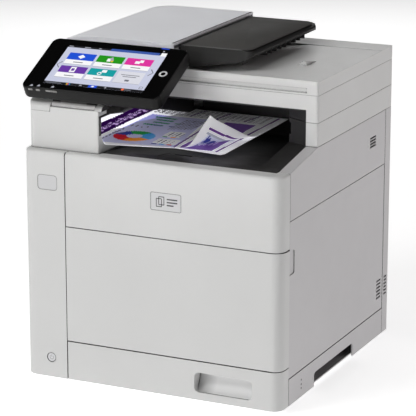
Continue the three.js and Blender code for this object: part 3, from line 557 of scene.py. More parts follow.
class Painter:
    """Lays flat coloured shapes on the panel, each a hair above the last."""

    def __init__(self):
        self.build = bmesh.new()
        self.names = list(SCREEN_COLOURS)

    def shape(self, points, colour, layer):
        w = SCREEN_LIFT + layer * LAYER
        face = self.build.faces.new([self.build.verts.new(on_panel(u, v, w)) for u, v in points])
        face.material_index = self.names.index(colour)

    def box(self, u0, u1, v0, v1, colour, layer=1):
        self.shape([(u0, v0), (u1, v0), (u1, v1), (u0, v1)], colour, layer)

    def disc(self, u, v, radius, colour, layer):
        self.shape(ring_points(u, v, radius, 16), colour, layer)

    def ring(self, u, v, outer, inner, colour, layer, steps=24):
        outside, inside = ring_points(u, v, outer, steps), ring_points(u, v, inner, steps)
        for i in range(steps):
            j = (i + 1) % steps
            self.shape([outside[i], outside[j], inside[j], inside[i]], colour, layer)


def tile_symbol(paint, kind, u, v):
    """Small white symbols without letters: a diamond, pages, cards, a framed page, a box and ring."""
    if kind == "blue":
        paint.shape([(u - 6, v), (u, v - 5), (u + 6, v), (u, v + 5)], "white", 3)
    elif kind == "green":
        paint.box(u - 5, u + 1, v - 5, v + 2, "white", 3)
        paint.shape([(u - 2, v + 3), (u + 2, v + 6), (u + 6, v - 2), (u + 2, v - 4)], "pale", 4)
        paint.disc(u + 4, v - 4, 2.0, "yellow", 5)
    elif kind == "pink":
        paint.box(u - 6, u + 2, v - 4, v + 2, "white", 3)
        paint.box(u + 1, u + 7, v - 1, v + 5, "white", 4)
    elif kind == "purple":
        paint.box(u - 4.5, u + 4.5, v - 6, v + 6, "white", 3)
        paint.box(u - 2.5, u + 2.5, v - 3, v + 3, "purple", 4)
    elif kind == "teal":
        paint.box(u - 1, u + 7, v + 0, v + 6, "white", 3)
        paint.ring(u - 3, v - 3, 3.6, 2.0, "white", 3)


def screen_tiles(paint):
    for kinds, (bottom, split, top) in zip(TILE_ROWS, ROW_HEIGHTS):
        for kind, (left, right) in zip(kinds, TILE_COLUMNS):
            paint.box(left, right, bottom, top, "grey" if kind == "grey" else "white", 1)
            paint.box(left, right, bottom - 0.8, bottom, "pale", 1)
            middle = (left + right) / 2
            if kind == "grey":
                for k, reach in enumerate((15, 11)):
                    paint.box(middle - reach, middle + reach, top - 9 - 4 * k, top - 7.6 - 4 * k, "ink", 2)
                paint.box(middle - 4, middle + 3, bottom + 4, bottom + 8, "ink", 2)
                continue
            paint.box(left, right, split, top, kind, 2)
            paint.box(middle - 8, middle + 8, bottom + 3.6, bottom + 5.4, "ink", 2)
            tile_symbol(paint, kind, middle, (split + top) / 2)


def chevron(paint, u, v, side):
    """An arrow head that points to the left or the right."""
    for rise in (-1, 1):
        near, far = (u - side * 5.5, v + rise * 7.0), (u - side * 4.3, v + rise * 7.8)
        paint.shape([(u, v), near, far, (u + side * 1.6, v)], "ink", 1)


def screen_bars(paint):
    left, right, bottom, top = SCREEN
    paint.box(left, right, bottom, 18.6, "bar", 1)
    paint.box(left, right, 101.4, top, "bar", 1)
    paint.box(104.0, 184.0, 100.8, 106.4, "status", 2)
    paint.box(186.5, 195.5, 99.6, 107.2, "white", 2)
    for start, end in ((34, 41), (60, 70), (84, 88)):
        paint.box(start, end, 103.0, 104.6, "pale", 2)
    for start, end in ((36, 62), (166, 176)):
        paint.box(start, end, 14.6, 16.8, "ink", 2)
    for i, colour in enumerate(("yellow", "magenta", "cyan")):
        paint.box(70.4 + 2.2 * i, 72.2 + 2.2 * i, 13.9, 17.6, colour, 2)
    paint.box(92, 96, 14.4, 16.8, "pale", 2)
    paint.box(106.9, 120.9, 12.8, 18.6, "blue", 2)
    paint.shape([(111, 15.2), (114, 17.8), (117, 15.2), (114, 13.6)], "white", 3)
    paint.disc(135.0, 15.8, 1.6, "pale", 2)
    paint.disc(163.0, 15.8, 2.4, "orange", 2)
    paint.box(186.2, 192.0, 20.8, 26.2, "ink", 1)
    paint.box(187.0, 191.2, 21.6, 25.4, "back", 2)


def panel_screen():
    paint = Painter()
    left, right, bottom, top = SCREEN
    paint.box(left, right, bottom, top, "back", 0)
    screen_tiles(paint)
    chevron(paint, 35.4, 58.9, -1)
    chevron(paint, 192.0, 59.7, 1)
    screen_bars(paint)
    materials = [lit("screen_" + name, tone(*rgb)) for name, rgb in SCREEN_COLOURS.items()]
    add_piece("display_picture", paint.build, materials, "panel", replaces=["display"])
    marks = Painter()
    marks.box(181.2, 194.2, 117.0, 118.6, "led", 0)
    marks.disc(188.0, 111.2, 1.5, "pale", 0)
    for u, v in ((17.3, 5.1), (29.0, 5.9), (52.3, 6.2)):
        marks.shape([(u - 2.6, v - 2.0), (u + 2.4, v - 2.0), (u + 2.6, v + 0.6), (u, v + 2.4)], "pale", 0)
    add_piece("panel_marks", marks.build, materials, "panel")


def home_key():
    """A pale ring round a dark centre, flush in the glass."""
    build = bmesh.new()

    def annulus(radius, w):
        return [(a, b, w) for a, b in ring_points(*KEY_CENTRE, radius, 36)]

    inner, outer, chamfer = KEY_HOLE_RADIUS, KEY_RADIUS, 0.3
    bottom, side, top = -0.15, 0.05, 0.16
    section = (
        (inner, bottom), (outer, bottom), (outer, side), (outer - chamfer, top),
        (inner + chamfer, top), (inner, side), (inner, bottom),
    )
    add_loft(build, [annulus(radius, w) for radius, w in section], on_panel, caps=(False, False))
    bmesh.ops.remove_doubles(build, verts=build.verts, dist=WELD)
    add_piece("home_key_ring", build, [KEY], "home_key")
    dress("home_key", BLACK_GLASS)


panel_body()
panel_face()
panel_windows()
panel_screen()
home_key()

# ------------
# Document feeder: pale strips of painted highlight on its cover's edges, a paler cover white as painted
# light, a dished face and ribs on its tray
# ------------

FEEDER_X = (3.0, 186.0)
FEEDER_Y = (131.0, 420.0)
HIGHLIGHT_TOP = 507.0 - 0.05
TRAY_X = (187.0, 306.0)
TRAY_Y = (150.0, 409.0)
TRAY_TOP = 502.0
SIDE_RIBS = (204, 222, 239, 257, 275, 293, 313, 330, 348)
SIDE_RIB_SPAN, SIDE_RIB_HALF = (272.0, 304.0, 306.0), 1.6
NOSE_RIBS = (262, 271, 280, 289)
NOSE_RIB_SPAN, NOSE_RIB_HALF = (152.0, 172.0), 0.9

# Lit and shaded copies of the tray's dark plastic: the hull, nose and ribs are painted darker as shade, the
# face paler as light.
TRAY_SHADED = moulded("tray_painted_shade", (0.014, 0.0135, 0.013), roughness=0.45, tone=0.06, wear=0.15, specular=0.35)
TRAY_FACE_LIT = moulded("tray_face_painted_light", (0.072, 0.070, 0.067), roughness=0.8, tone=0.05, wear=0.1, specular=0.2)
# Painted light: the feeder cover's white is a paler copy of the covers' white, for the light on its top.
FEEDER_LIT_WHITE = moulded("feeder_white_painted_light", (0.87, 0.88, 0.92), roughness=0.5)
# Painted highlight: near-white for the strips on the cover's edges.
HIGHLIGHT_WHITE = moulded("feeder_painted_highlight", (0.95, 0.95, 0.97), roughness=0.42, wear=0.0)


def cover_curve(inset):
    """Top line of the feeder cover in front view, from its right edge to the rolled left end."""
    right, top = FEEDER_X[1] + 0.4 - inset, HIGHLIGHT_TOP
    start, pull, end = (62.0, top), (32.0, top), (FEEDER_X[0] + 6.0, top - 5.7)
    points = [(right, top)]
    for i in range(13):
        t = i / 12
        shares = ((1 - t) ** 2, 2 * t * (1 - t), t * t)
        points.append(tuple(
            shares[0] * a + shares[1] * b + shares[2] * c for a, b, c in zip(start, pull, end)
        ))
    return points


def highlight_strips():
    """Painted highlights: pale raised strips along the cover's right edge and along its front and back
    edges.
    """
    build = bmesh.new()
    low, high = HIGHLIGHT_TOP - 0.4, HIGHLIGHT_TOP + 0.05
    edge = FEEDER_X[1]
    bar = [(edge - 3.4, low), (edge + 0.3, low), (edge + 0.3, high), (edge - 3.2, high)]
    add_loft(build, [[(x, y, z) for x, z in bar] for y in (FEEDER_Y[0] + 0.2, FEEDER_Y[1] - 0.2)], at)
    for y, way in ((FEEDER_Y[0], 1), (FEEDER_Y[1], -1)):
        rings = []
        for x, z in cover_curve(4.2):
            rings.append([
                (x, y + way * 0.05, z - 2.6), (x, y + way * 0.2, z - 0.9), (x, y + way * 0.9, z + 0.02),
                (x, y + way * 3.4, z + 0.05), (x, y + way * 3.4, z - 0.6),
            ])
        add_loft(build, rings, at)
    return build


def tray_skin():
    """The slightly dished face of the document tray, in its own coarser finish, and painted paler than the
    tray under it as painted light.
    """
    build = bmesh.new()
    x0, x1 = TRAY_X
    y0, y1 = TRAY_Y
    outline = rounded(x0 + 5.5, x1 - 5, y0 + 4, y1 - 4, [2, 12, 17, 2])
    add_slab(build, outline, TRAY_TOP - 0.3, TRAY_TOP + 0.25, at, edge=0.25)
    return build


def tray_ribs():
    """Ribs under the right edge of the tray, and short ones under its front nose."""
    build = bmesh.new()
    inner, shoulder, tip = SIDE_RIB_SPAN
    for y in SIDE_RIBS:
        low, high = y - SIDE_RIB_HALF, y + SIDE_RIB_HALF
        outline = [(inner, low), (shoulder, low), (tip, y), (shoulder, high), (inner, high)]
        add_slab(build, outline, TRAY_TOP - 15.5, TRAY_TOP - 7.5, at)
    front, back = NOSE_RIB_SPAN
    for x in NOSE_RIBS:
        left, right = x - NOSE_RIB_HALF, x + NOSE_RIB_HALF
        outline = [(left, front), (right, front), (right, back), (left, back)]
        add_slab(build, outline, TRAY_TOP - 21.5, TRAY_TOP - 15, at)
    return build


def feeder():
    dress("feeder_cover", FEEDER_LIT_WHITE)
    add_piece("feeder_cover_highlights", highlight_strips(), [HIGHLIGHT_WHITE], "feeder_cover")
    add_piece("tray_face_painted_light", tray_skin(), [TRAY_FACE_LIT], "feeder_tray")
    add_piece("tray_ribs", tray_ribs(), [TRAY_SHADED], "feeder_tray")
    dress("feeder_tray", TRAY_SHADED)


feeder()

# ------------
# Pedestal: painted shade on the side that faces the bay, above the sheets, and painted shadow on the panel's
# neck
# ------------

# Painted shade: a dark sheet over the sides of the pedestal and the pillar, where the bay's shade falls.
BAY_SHADE = moulded("bay_painted_shade", (0.055, 0.052, 0.05), roughness=0.6, tone=0.06, wear=0.1)
BAY_SHADE_THICK = 0.3
PEDESTAL_SIDE, WALL_SIDE = 121.05, 124.15
PEDESTAL_OUTLINE = [
    (16.5, 384.0), (129.0, 384.0), (129.0, 420.8), (41.0, 420.8), (41.0, 413.4), (16.5, 413.4),
]
WALL_OUTLINE = [(132.0, 366.0), (330.0, 348.0), (330.0, 407.0), (132.0, 407.0)]
# Painted shade on the pedestal's right side: its colour and the places, in metres across the row frame,
# where it sets in.
KNUCKLE_SHADE, KNUCKLE_FROM, KNUCKLE_TO = (0.05, 0.048, 0.046), -0.0845, -0.0842
# Painted shadow on the panel's neck: its colour and the heights, in metres, where it sets in.
NECK_SHADOW, NECK_FROM, NECK_TO = (0.012, 0.011, 0.011), 0.4262, 0.4292


def on_side(y, z, x):
    """Puts a point given by y, z and its place across the machine into the row frame."""
    return at(x, y, z)


def pedestal_shade_sheets():
    """Thin dark sheets on the sides of the pedestal and of the pillar behind it, laid there as painted
    shade.
    """
    build = bmesh.new()
    for outline, side in ((PEDESTAL_OUTLINE, PEDESTAL_SIDE), (WALL_OUTLINE, WALL_SIDE)):
        add_slab(build, outline, side, side + BAY_SHADE_THICK, on_side)
    return build


def knuckle_painted_shade(n, surface):
    """Painted shade: the pedestal is dark from its right side's plane on, and pale to the left of it."""
    return n.mix(n.fade("X", KNUCKLE_FROM, KNUCKLE_TO), surface, KNUCKLE_SHADE)


def neck_painted_shadow(n, surface):
    """Painted shadow of the panel: the neck is pale at its foot and dark above it."""
    return n.mix(n.fade("Z", NECK_FROM, NECK_TO), surface, NECK_SHADOW)


add_piece("pedestal_shade_sheets", pedestal_shade_sheets(), [BAY_SHADE], "root")
dress("panel_pedestal", moulded("pedestal_white_painted_shade", (0.66, 0.66, 0.655), roughness=0.46, shade=knuckle_painted_shade))
dress("panel_arm", moulded("neck_white_painted_shadow", (0.60, 0.59, 0.59), roughness=0.46, shade=neck_painted_shadow))

# ------------
# Small marks: badge pictogram, plate outlines, power button ring, painted shade in the tray slot and pin
# holes, and the scoop
# ------------

# Painted shadow at the left end of the handle recess, clearing between two places along x, in metres.
SCOOP_SHADOW, SCOOP_CLEAR_FROM, SCOOP_CLEAR_TO = (0.34, 0.34, 0.34), 0.072, 0.102


def scoop_painted_shadow(n, surface):
    """Painted shadow: the recess is dark at its left end, under the lip, and clears towards the right."""
    return n.mix(n.fade("X", SCOOP_CLEAR_TO, SCOOP_CLEAR_FROM), surface, SCOOP_SHADOW)


INK = moulded("badge_ink", (0.045, 0.045, 0.045), roughness=0.35, grain=0.000005, wear=0.02)
LINE = moulded("plate_line", (0.36, 0.36, 0.36), roughness=0.4, grain=0.000005, wear=0.02)
# Painted light: the scoop is a paler copy of the white plastic, for the light in the recess.
SCOOP_LIT_WHITE = moulded("scoop_painted_light", (0.86, 0.86, 0.86), roughness=0.42, shade=scoop_painted_shadow)
# Painted shade: near-black for the inside of the tray slot and of the pin holes.
HOLE_SHADE = moulded("tray_slot", (0.004, 0.004, 0.004), roughness=0.6, wear=0.0, specular=0.1)
BUTTON_X, BUTTON_Z, BUTTON_RADIUS = 43.8, 37.0, 7.2
PAGE_WIDTH, PAGE_HALF_HEIGHT = 9.5, 6.5
BAR_WIDTHS, BAR_PITCH, BAR_START = (17.0, 17.0, 11.0), 4.5, 26.0
TRAY_SLOT = (237.0, 265.0, 29.5, 34.5)
TRAY_SLOT_BOTTOM, TRAY_SLOT_TOP = 365.3, 365.65
SCOOP_X = (283.0, 374.6)
SCOOP_BACK = (21.6, 18.8)
SCOOP_CENTRE, SCOOP_REACH, SCOOP_DROP = (1.8, 48.4), 19.6, 29.4
PIN_HOLE_Y, PIN_HOLES_Z, PIN_HOLE_RADIUS = 78.0, (20.0, 26.0, 33.0), 1.8


def on_front(depth):
    """Puts a point given by x, z and a height above a front face into the row frame."""
    return lambda x, z, out: at(x, depth - out, z)


def frame_line(build, x0, x1, z0, z1, radius, width, place, height=0.12):
    """A raised line round the inside of a rounded rectangle."""
    outer = rounded(x0, x1, z0, z1, radius)
    inner = rounded(x0 + width, x1 - width, z0 + width, z1 - width, max(0.2, radius - width))
    section = ((outer, 0.0), (outer, height), (inner, height), (inner, 0.0))
    rings = [[(*point, out) for point in outline] for outline, out in section]
    add_loft(build, rings, place, caps=(False, False))


def badge_marks():
    """Two overlapping pages and three bars: a plain pictogram for copying."""
    build = bmesh.new()
    low, high = corner_box("badge_plate")
    place = on_front(low.y)
    middle_z = (low.z + high.z) / 2
    for x, z in ((low.x + 8.5, middle_z - 1.5), (low.x + 12.5, middle_z + 1.5)):
        bottom, top = z - PAGE_HALF_HEIGHT, z + PAGE_HALF_HEIGHT
        frame_line(build, x, x + PAGE_WIDTH, bottom, top, 1.0, 1.1, place)
    left = low.x + BAR_START
    for i, width in enumerate(BAR_WIDTHS):
        z = middle_z + BAR_PITCH - BAR_PITCH * i
        add_slab(build, rounded(left, left + width, z - 0.9, z + 0.9, 0.6), 0.0, 0.12, place)
    return build


def plate_lines():
    """The fine dark line round the edge of each plate."""
    build = bmesh.new()
    for node, radius in (("badge_plate", 2.5), ("blank_plate", 5.0)):
        low, high = corner_box(node)
        frame_line(build, low.x, high.x, low.z, high.z, radius, 0.55, on_front(low.y), 0.05)
    return build


def button_marks():
    """A fine ring on the rim of the power button, and a broken circle with a stroke at its centre."""
    build = bmesh.new()
    low, _high = corner_box("power_button")
    place = on_front(low.y)

    def annulus(outer, inner, start=0, turn=360):
        steps = 28
        angles = [math.radians(start + turn * i / steps) for i in range(steps + (turn < 360))]
        rings = []
        section = ((outer, -0.05), (outer, 0.1), (inner, 0.1), (inner, -0.05))
        for a in angles:
            rings.append([
                (BUTTON_X + reach * math.cos(a), BUTTON_Z + reach * math.sin(a), out)
                for reach, out in section
            ])
        if turn >= 360:
            rings.append(rings[0])
        add_loft(build, rings, place, caps=(turn < 360, turn < 360))

    annulus(BUTTON_RADIUS - 0.2, BUTTON_RADIUS - 0.9)
    annulus(3.4, 2.7, 130, 280)
    stroke = rounded(BUTTON_X - 0.35, BUTTON_X + 0.35, BUTTON_Z + 0.4, BUTTON_Z + 4.0, 0.2)
    add_slab(build, stroke, 0.0, 0.1, place)
    return build


def tray_slot():
    """Painted shade: a thin near-black plate for the finger slot in the level front band of the output tray.
    """
    build = bmesh.new()
    add_slab(build, rounded(*TRAY_SLOT, 2.2), TRAY_SLOT_BOTTOM, TRAY_SLOT_TOP, at)
    return build


def handle_scoop():
    """Curved bottom of the cassette's handle recess, from its back top edge to its front lower lip."""
    build = bmesh.new()
    curve = [SCOOP_BACK]
    middle_y, middle_z = SCOOP_CENTRE
    for i in range(11):
        turn = math.pi / 2 * i / 10
        curve.append((middle_y + SCOOP_REACH * math.cos(turn), middle_z - SCOOP_DROP * math.sin(turn)))
    add_loft(build, [[(x, y, z) for y, z in curve] for x in SCOOP_X], at)
    scoop = add_piece("handle_scoop", build, [SCOOP_LIT_WHITE], "cassette")
    round_edges(scoop, 0.3)


def pin_holes():
    """Painted shade: three small near-black discs in the holes low on the right side, near the front."""
    build = bmesh.new()
    for z in PIN_HOLES_Z:
        outline = ring_points(PIN_HOLE_Y, z, PIN_HOLE_RADIUS, 12)
        add_slab(build, outline, CABINET_RIGHT - 0.4, CABINET_RIGHT - 0.02, on_side)
    return build


def marks():
    add_piece("side_pin_holes", pin_holes(), [HOLE_SHADE], "root")
    handle_scoop()
    add_piece("tray_finger_slot", tray_slot(), [HOLE_SHADE], "root")
    add_piece("badge_pictogram", badge_marks(), [INK], "root")
    add_piece("plate_outlines", plate_lines(), [LINE], "root")
    add_piece("power_button_marks", button_marks(), [LINE], "power_button")


marks()

# ------------
# Two printed sheets in the output bay. They are wider than the bay, so their left end climbs the
# wall, and the upper one's front right corner curls up. Prints are drawn in millimetres on the
# plane of the sheet, X and Y as in the corner frame, and slide along SLANT where the sheet rises.
# ------------

SHEET_Z = 359.4
WALL_X, WALL_RISE, BEND = 125.2, 46.0, 22.0
SHEET_RIGHT, SHEET_FRONT, SHEET_BACK = 290.0, 79.0, 336.0
SLANT = (1.9, -3.64)
FOLD = ((209.0, 90.0), (274.0, 199.0))
CURL_RADIUS, CURL_ANGLE = 32.0, math.radians(58)
FRONT_EDGE = ((31.0, 111.0, 209.0, 291.0), (56.0, 69.0, 92.0, 82.0))
STOP_LEFT, STOP_RIGHT, STOP_BACK, TRAY_FRONT = 198.0, 266.0, 62.0, 16.5
TRAY_BAND_END, TRAY_BAND_TOP, TRAY_FALL, TRAY_RUN = 45.0, 365.5, 43.5, 285.0
CLIMB_FRONT, CLIMB_RUN = 134.0, 178.0
FLOOR_GAP = 0.7
PAPER_STEP = 1.35
SHEET_THICK = 0.25
LOWER_SHEET_DROP = 0.7
PAPER_PAINTED_GLOW = 0.24

PRINT = {
    "paper": (250, 250, 252), "band": (72, 20, 108), "lilac": (200, 200, 232), "mark": (214, 196, 226),
    "blue": (52, 66, 150), "green": (40, 155, 70), "sky": (60, 160, 222), "orange": (242, 150, 32),
    "red": (212, 30, 44), "bar": (14, 140, 96), "line": (92, 90, 104), "rule": (92, 28, 128),
    "box": (120, 84, 164), "fog": (176, 180, 192), "reverse": (206, 210, 228),
}


def bend_profile(arc):
    """Where a point lies in the cross-section, a given way along the sheet from its left end."""
    upright, corner = WALL_RISE - BEND, BEND * math.pi / 2
    x = np.where(arc < upright, WALL_X, WALL_X + BEND + arc - upright - corner)
    rise = np.where(arc < upright, WALL_RISE - arc, 0.0)
    turn = np.clip((arc - upright) / BEND, 0, math.pi / 2)
    in_bend = (arc >= upright) & (arc <= upright + corner)
    x = np.where(in_bend, WALL_X + BEND * (1 - np.cos(turn)), x)
    rise = np.where(in_bend, BEND * (1 - np.sin(turn)), rise)
    return x, rise


def tray_lift(y):
    """How far the tray's floor, which rises towards the front, lifts a sheet off the level plane."""
    floor_height = TRAY_BAND_TOP - TRAY_FALL * (np.maximum(y, TRAY_BAND_END) - TRAY_BAND_END) / TRAY_RUN
    return np.maximum(0.0, floor_height + FLOOR_GAP - SHEET_Z)


def front_line(x, rise):
    """Where a sheet's front edge lies, so that it follows the points of FRONT_EDGE."""
    y = np.full_like(x, 70.0)
    limit = np.where((x > STOP_LEFT) & (x < STOP_RIGHT), STOP_BACK, TRAY_FRONT)
    for _ in range(40):
        above = rise + tray_lift(y)
        target = np.interp(x - SLANT[0] * above, *FRONT_EDGE) + SLANT[1] * above
        y = 0.5 * (y + np.maximum(target, limit))
    return y


def lay_sheet(drop, curled):
    """Rest position of every point of a sheet, and its place on the print."""
    climb = WALL_RISE - BEND + BEND * math.pi / 2
    length = climb + SHEET_RIGHT - WALL_X - BEND
    columns = int(length / PAPER_STEP)
    rows = int((SHEET_BACK - SHEET_FRONT) / PAPER_STEP)
    arc, depth = np.meshgrid(np.linspace(0, length, columns), np.linspace(0, 1, rows))
    x, rise = bend_profile(arc)
    front = front_line(x[0], rise[0])
    y = front + depth * (SHEET_BACK - front)
    rise = rise * np.clip(1 - (y - CLIMB_FRONT) / CLIMB_RUN, 0, 1)
    x = x - 5.0 * depth * np.clip((x - 200) / 90, 0, 1)
    above = rise + tray_lift(y)
    page = (x - SLANT[0] * above, y - SLANT[1] * above)
    z = SHEET_Z + above - drop
    if curled:
        x, y, z = curl_corner(x, y, z)
    return x, y, z, page


def curl_corner(x, y, z):
    """Rolls the part of a sheet that lies past the fold line up and over."""
    (ax, ay), (bx, by) = FOLD
    reach = math.hypot(bx - ax, by - ay)
    nx, ny = (by - ay) / reach, -(bx - ax) / reach
    past = np.clip((x - ax) * nx + (y - ay) * ny, 0, None)
    bent = np.minimum(past, CURL_RADIUS * CURL_ANGLE)
    rest = past - bent
    out = CURL_RADIUS * np.sin(bent / CURL_RADIUS) + rest * math.cos(CURL_ANGLE)
    up = CURL_RADIUS * (1 - np.cos(bent / CURL_RADIUS)) + rest * math.sin(CURL_ANGLE)
    return x + (out - past) * nx, y + (out - past) * ny, z + up


class Print:
    """Colours for every point of a sheet, painted shape by shape."""

    def __init__(self, page):
        self.x, self.y = page
        self.colours = np.zeros((*self.x.shape, 4), np.float32)
        self.fill(np.ones_like(self.x, bool), "paper")

    def fill(self, mask, name):
        self.colours[mask] = (*tone(*PRINT[name]), 1.0)

    def quad(self, corners, name):
        """Corners run anticlockwise."""
        mask = np.ones_like(self.x, bool)
        for (ax, ay), (bx, by) in zip(corners, corners[1:] + corners[:1]):
            mask &= (bx - ax) * (self.y - ay) - (by - ay) * (self.x - ax) >= 0
        self.fill(mask, name)

    def box(self, x0, x1, y0, y1, name, lean=0.0):
        shift = lean * (y1 - y0)
        self.quad([(x0, y0), (x1, y0), (x1 + shift, y1), (x0 + shift, y1)], name)

    def sector(self, x, y, inner, outer, start, end, name):
        away = np.hypot(self.x - x, self.y - y)
        turn = np.degrees(np.arctan2(self.y - y, self.x - x)) % 360
        first, last = start % 360, end % 360
        if first < last:
            within = (turn >= first) & (turn < last)
        else:
            within = (turn >= first) | (turn < last)
        self.fill((away >= inner) & (away <= outer) & within, name)


def print_chart(page):
    """The lilac panel: a ring chart, a bar chart, keys and notes, all as bars without letters."""
    page.quad([(79, 77), (208, 93), (173, 279), (79, 272)], "lilac")
    for start, end, name in (
        (-20, 62, "sky"), (62, 128, "green"), (128, 182, "blue"), (182, 262, "red"), (262, 340, "orange"),
    ):
        page.sector(120, 132, 12.5, 32, start, end, name)
    for left, right, y in ((92, 129, 255), (101, 130, 240), (104, 132, 223), (96, 130, 206)):
        page.box(left, right, y, y + 6.5, "bar", 0.1)
    page.box(112, 130, 206, 209, "blue")
    page.box(140, 149, 229, 234, "bar")
    page.box(139, 148, 208, 213, "blue")
    for i in range(4):
        page.box(84 + 9 * i, 86 + 9 * i, 186, 196, "line")
    for i in range(8):
        page.box(145 + 4.6 * i, 146.6 + 4.6 * i, 192 + 2 * i, 262 + i, "line", 0.02)
    for i in range(7):
        page.box(82, 85, 96 + 11 * i, 104 + 11 * i, "line")
    page.quad([(158, 146), (186, 149), (182, 184), (156, 182)], "paper")
    page.quad([(163, 104), (200, 107), (196, 136), (161, 134)], "paper")
    for i in range(4):
        page.box(164 + 6 * i, 165.8 + 6 * i, 156, 178, "line")
        page.box(168 + 7 * i, 169.8 + 7 * i, 110, 130, "line")
    for x, y, name in (
        (160, 145, "bar"), (173, 146, "orange"), (163, 99, "blue"), (176, 100, "sky"), (188, 101, "red"),
    ):
        page.box(x, x + 8, y, y + 5.5, name)


def front_print(page):
    """A dark title band, the chart panel, a boxed column between rules, and rows of text bars."""
    page.box(40, 71, 74, 340, "band", -0.01)
    for i in range(15):
        page.box(48.5 + 3 * (i % 2), 64 - 2 * (i % 3), 86 + 16 * i, 96 + 16 * i, "mark")
        page.box(52, 56 + 3 * (i % 2), 89 + 16 * i, 93 + 16 * i, "band")
    print_chart(page)
    page.box(203, 206.5, 93, 286, "rule", -0.09)
    page.quad([(212, 95), (264, 99), (257, 274), (207, 274)], "box")
    for i in range(6):
        page.box(220 + 6 * i, 221.4 + 6 * i, 112 + 4 * i, 150 + 4 * i, "mark")
    page.box(271, 274.5, 95, 332, "rule", -0.005)
    for row in range(9):
        y = 286 + 5.4 * row
        for column in range(21):
            x = 74 + 9 * column
            page.box(x, x + 6.6, y, y + 2.2, "line", 0.12)
    for x in (137, 182, 230):
        page.box(x, x + 3, 288, 334, "rule", 0.15)


def back_print(page):
    """The side that shows where the corner curls over: a pale block, dots and short bars."""
    page.quad([(214, 98), (266, 102), (262, 196), (222, 150)], "reverse")
    page.box(271, 275, 92, 204, "rule", -0.005)
    page.box(262, 266, 96, 190, "fog")
    for x, y, size, name in (
        (248, 128, 9, "blue"), (240, 142, 7, "fog"), (256, 150, 8, "fog"),
        (252, 112, 6, "blue"), (262, 170, 6, "blue"),
    ):
        page.sector(x, y, 0, size, 0, 359.9, name)
    for i in range(4):
        page.box(222 + 11 * i, 229 + 11 * i, 103 + i, 106 + i, "blue")
        page.box(222 + 11 * i, 226 + 11 * i, 109 + i, 111 + i, "blue")


def printed(name, layer):
    """Coated paper: ink from a colour layer, faint fibres, a slight sheen, and a painted glow in the ink's
    colour that fades towards the back.
    """
    n = Nodes(name)
    ink = n.add("ShaderNodeAttribute", attribute_name=layer)
    fibres = n.mix(n.spread(n.noise(400.0, 3.0), 0.0, 1.0), (0.965, 0.965, 0.97), (1.0, 1.0, 1.0))
    n.link(n.mix(1.0, ink.outputs["Color"], fibres, "MULTIPLY"), n.shader.inputs["Base Color"])
    n.link(n.spread(n.noise(60.0), 0.42, 0.55), n.shader.inputs["Roughness"])
    n.link(n.bump(n.noise(900.0, 2.0), 0.00001).outputs["Normal"], n.shader.inputs["Normal"])
    # Painted light: the sheet glows in its ink colour at the front, and less towards the back as painted
    # shade.
    n.link(ink.outputs["Color"], n.shader.inputs["Emission Color"])
    n.link(n.fade("Y", -0.10, 0.11, PAPER_PAINTED_GLOW, 0.03), n.shader.inputs["Emission Strength"])
    return n.material


def paper_sheet(name, drop, curled, materials):
    """One sheet, with its prints in two colour layers and a modifier for its thickness."""
    x, y, z, (page_x, page_y) = lay_sheet(drop, curled)
    rows, columns = x.shape
    points = [at(*point) for point in zip(x.ravel(), y.ravel(), z.ravel())]
    index = np.arange(rows * columns).reshape(rows, columns)
    quads = np.stack([index[:-1, :-1], index[:-1, 1:], index[1:, 1:], index[1:, :-1]], -1).reshape(-1, 4)
    mesh = bpy.data.meshes.new(name)
    mesh.from_pydata(points, [], quads.tolist())
    middle = [(a[:-1, :-1] + a[1:, 1:]) / 2 for a in (page_x, page_y)]
    for layer, draw in (("front_print", front_print), ("back_print", back_print)):
        page = Print(middle)
        draw(page)
        attribute = mesh.color_attributes.new(layer, "FLOAT_COLOR", "CORNER")
        attribute.data.foreach_set("color", np.repeat(page.colours.reshape(-1, 4), 4, axis=0).ravel())
    for material in materials:
        mesh.materials.append(material)
    shade_smooth(mesh)
    sheet = bpy.data.objects.new(name, mesh)
    bpy.context.scene.collection.objects.link(sheet)
    body = sheet.modifiers.new("thickness", "SOLIDIFY")
    body.thickness = SHEET_THICK * MM
    body.offset = -1
    body.material_offset = 1
    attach(sheet, "root")


PAPER_MATERIALS = [printed("print_front", "front_print"), printed("print_back", "back_print")]
paper_sheet("paper_sheet_lower", LOWER_SHEET_DROP, False, PAPER_MATERIALS)
paper_sheet("paper_sheet_upper", 0.0, True, PAPER_MATERIALS)

# ------------
# Floor, light and camera, in the row frame: metres and watts
# ------------

FLOOR_GLOW = 0.64
WORLD_LIGHT = 0.03
CENTRE = (0.0, 0.0, 0.25)
LAMPS = (
    # name, place, target, size, power, colour, spread in degrees
    ("key", (-1.25, -1.85, 2.1), CENTRE, (1.4, 1.4), 34.5, (1.0, 1.0, 0.992), 180),
    ("accent", (0.1, -2.7, 1.1), (0.12, -0.09, 0.47), (0.5, 0.2), 0.10, (1.0, 1.0, 1.0), 12),
    ("top", (0.2, -0.5, 3.0), CENTRE, (1.4, 1.4), 11.0, (1.0, 1.0, 1.0), 180),
    ("fill", (-0.1, -3.3, 0.9), CENTRE, (1.6, 1.2), 11.0, (1.0, 1.0, 1.0), 180),
    ("side", (2.5, 2.4, 1.4), CENTRE, (1.6, 1.6), 25.0, (1.0, 0.94, 0.94), 180),
    ("rim", (-1.25, 2.7, 1.15), CENTRE, (2.0, 0.9), 11.0, (1.0, 1.0, 1.0), 180),
)
CAMERA_AZIMUTH, CAMERA_ELEVATION = math.radians(25.22), math.radians(15.28)
CAMERA_DISTANCE = 3.2421
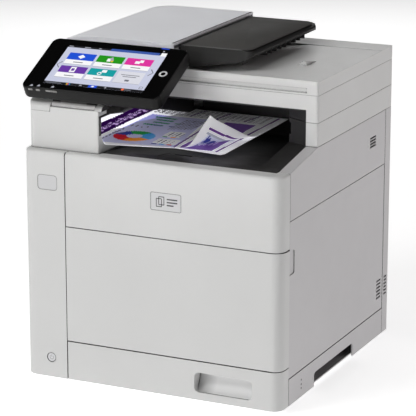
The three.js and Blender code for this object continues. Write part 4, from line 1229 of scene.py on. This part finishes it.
CAMERA_LENS = 195.9
CAMERA_TARGET = at(304.9, 0.0, 300.9)


def floor():
    bpy.ops.mesh.primitive_plane_add(size=20.0, location=(0, 0, -0.0002))
    plane = bpy.context.object
    plane.name = "floor"
    n = Nodes("floor")
    n.link(n.mix(n.noise(3.0), (0.84, 0.84, 0.84), (0.87, 0.87, 0.87)), n.shader.inputs["Base Color"])
    n.shader.inputs["Roughness"].default_value = 0.9
    n.shader.inputs["Emission Color"].default_value = (1.0, 1.0, 1.0, 1.0)
    n.shader.inputs["Emission Strength"].default_value = FLOOR_GLOW
    plane.data.materials.append(n.material)


def soft_light(name, place, target, size, power, color, spread):
    data = bpy.data.lights.new(name, "AREA")
    data.shape = "RECTANGLE"
    data.size, data.size_y = size
    data.energy = power
    data.spread = math.radians(spread)
    data.color = color
    light = bpy.data.objects.new(name, data)
    light.location = place
    light.rotation_euler = (Vector(target) - Vector(place)).to_track_quat("-Z", "Y").to_euler()
    bpy.context.scene.collection.objects.link(light)


def studio():
    world = bpy.data.worlds.new("studio")
    bpy.context.scene.world = world
    world.use_nodes = True
    background = world.node_tree.nodes["Background"]
    background.inputs["Color"].default_value = (1.0, 0.985, 0.985, 1.0)
    background.inputs["Strength"].default_value = WORLD_LIGHT
    for lamp in LAMPS:
        soft_light(*lamp)
    bpy.context.scene.view_settings.view_transform = "Standard"


def camera():
    level = math.cos(CAMERA_ELEVATION)
    back = Vector((
        math.sin(CAMERA_AZIMUTH) * level, -math.cos(CAMERA_AZIMUTH) * level, math.sin(CAMERA_ELEVATION),
    ))
    data = bpy.data.cameras.new("camera")
    data.lens = CAMERA_LENS
    data.sensor_width = 36.0
    data.clip_end = 50.0
    obj = bpy.data.objects.new("camera", data)
    obj.location = CAMERA_TARGET + back * CAMERA_DISTANCE
    obj.rotation_euler = (-back).to_track_quat("-Z", "Y").to_euler()
    bpy.context.scene.collection.objects.link(obj)
    bpy.context.scene.camera = obj


floor()
studio()
camera()

bpy.context.view_layer.update()
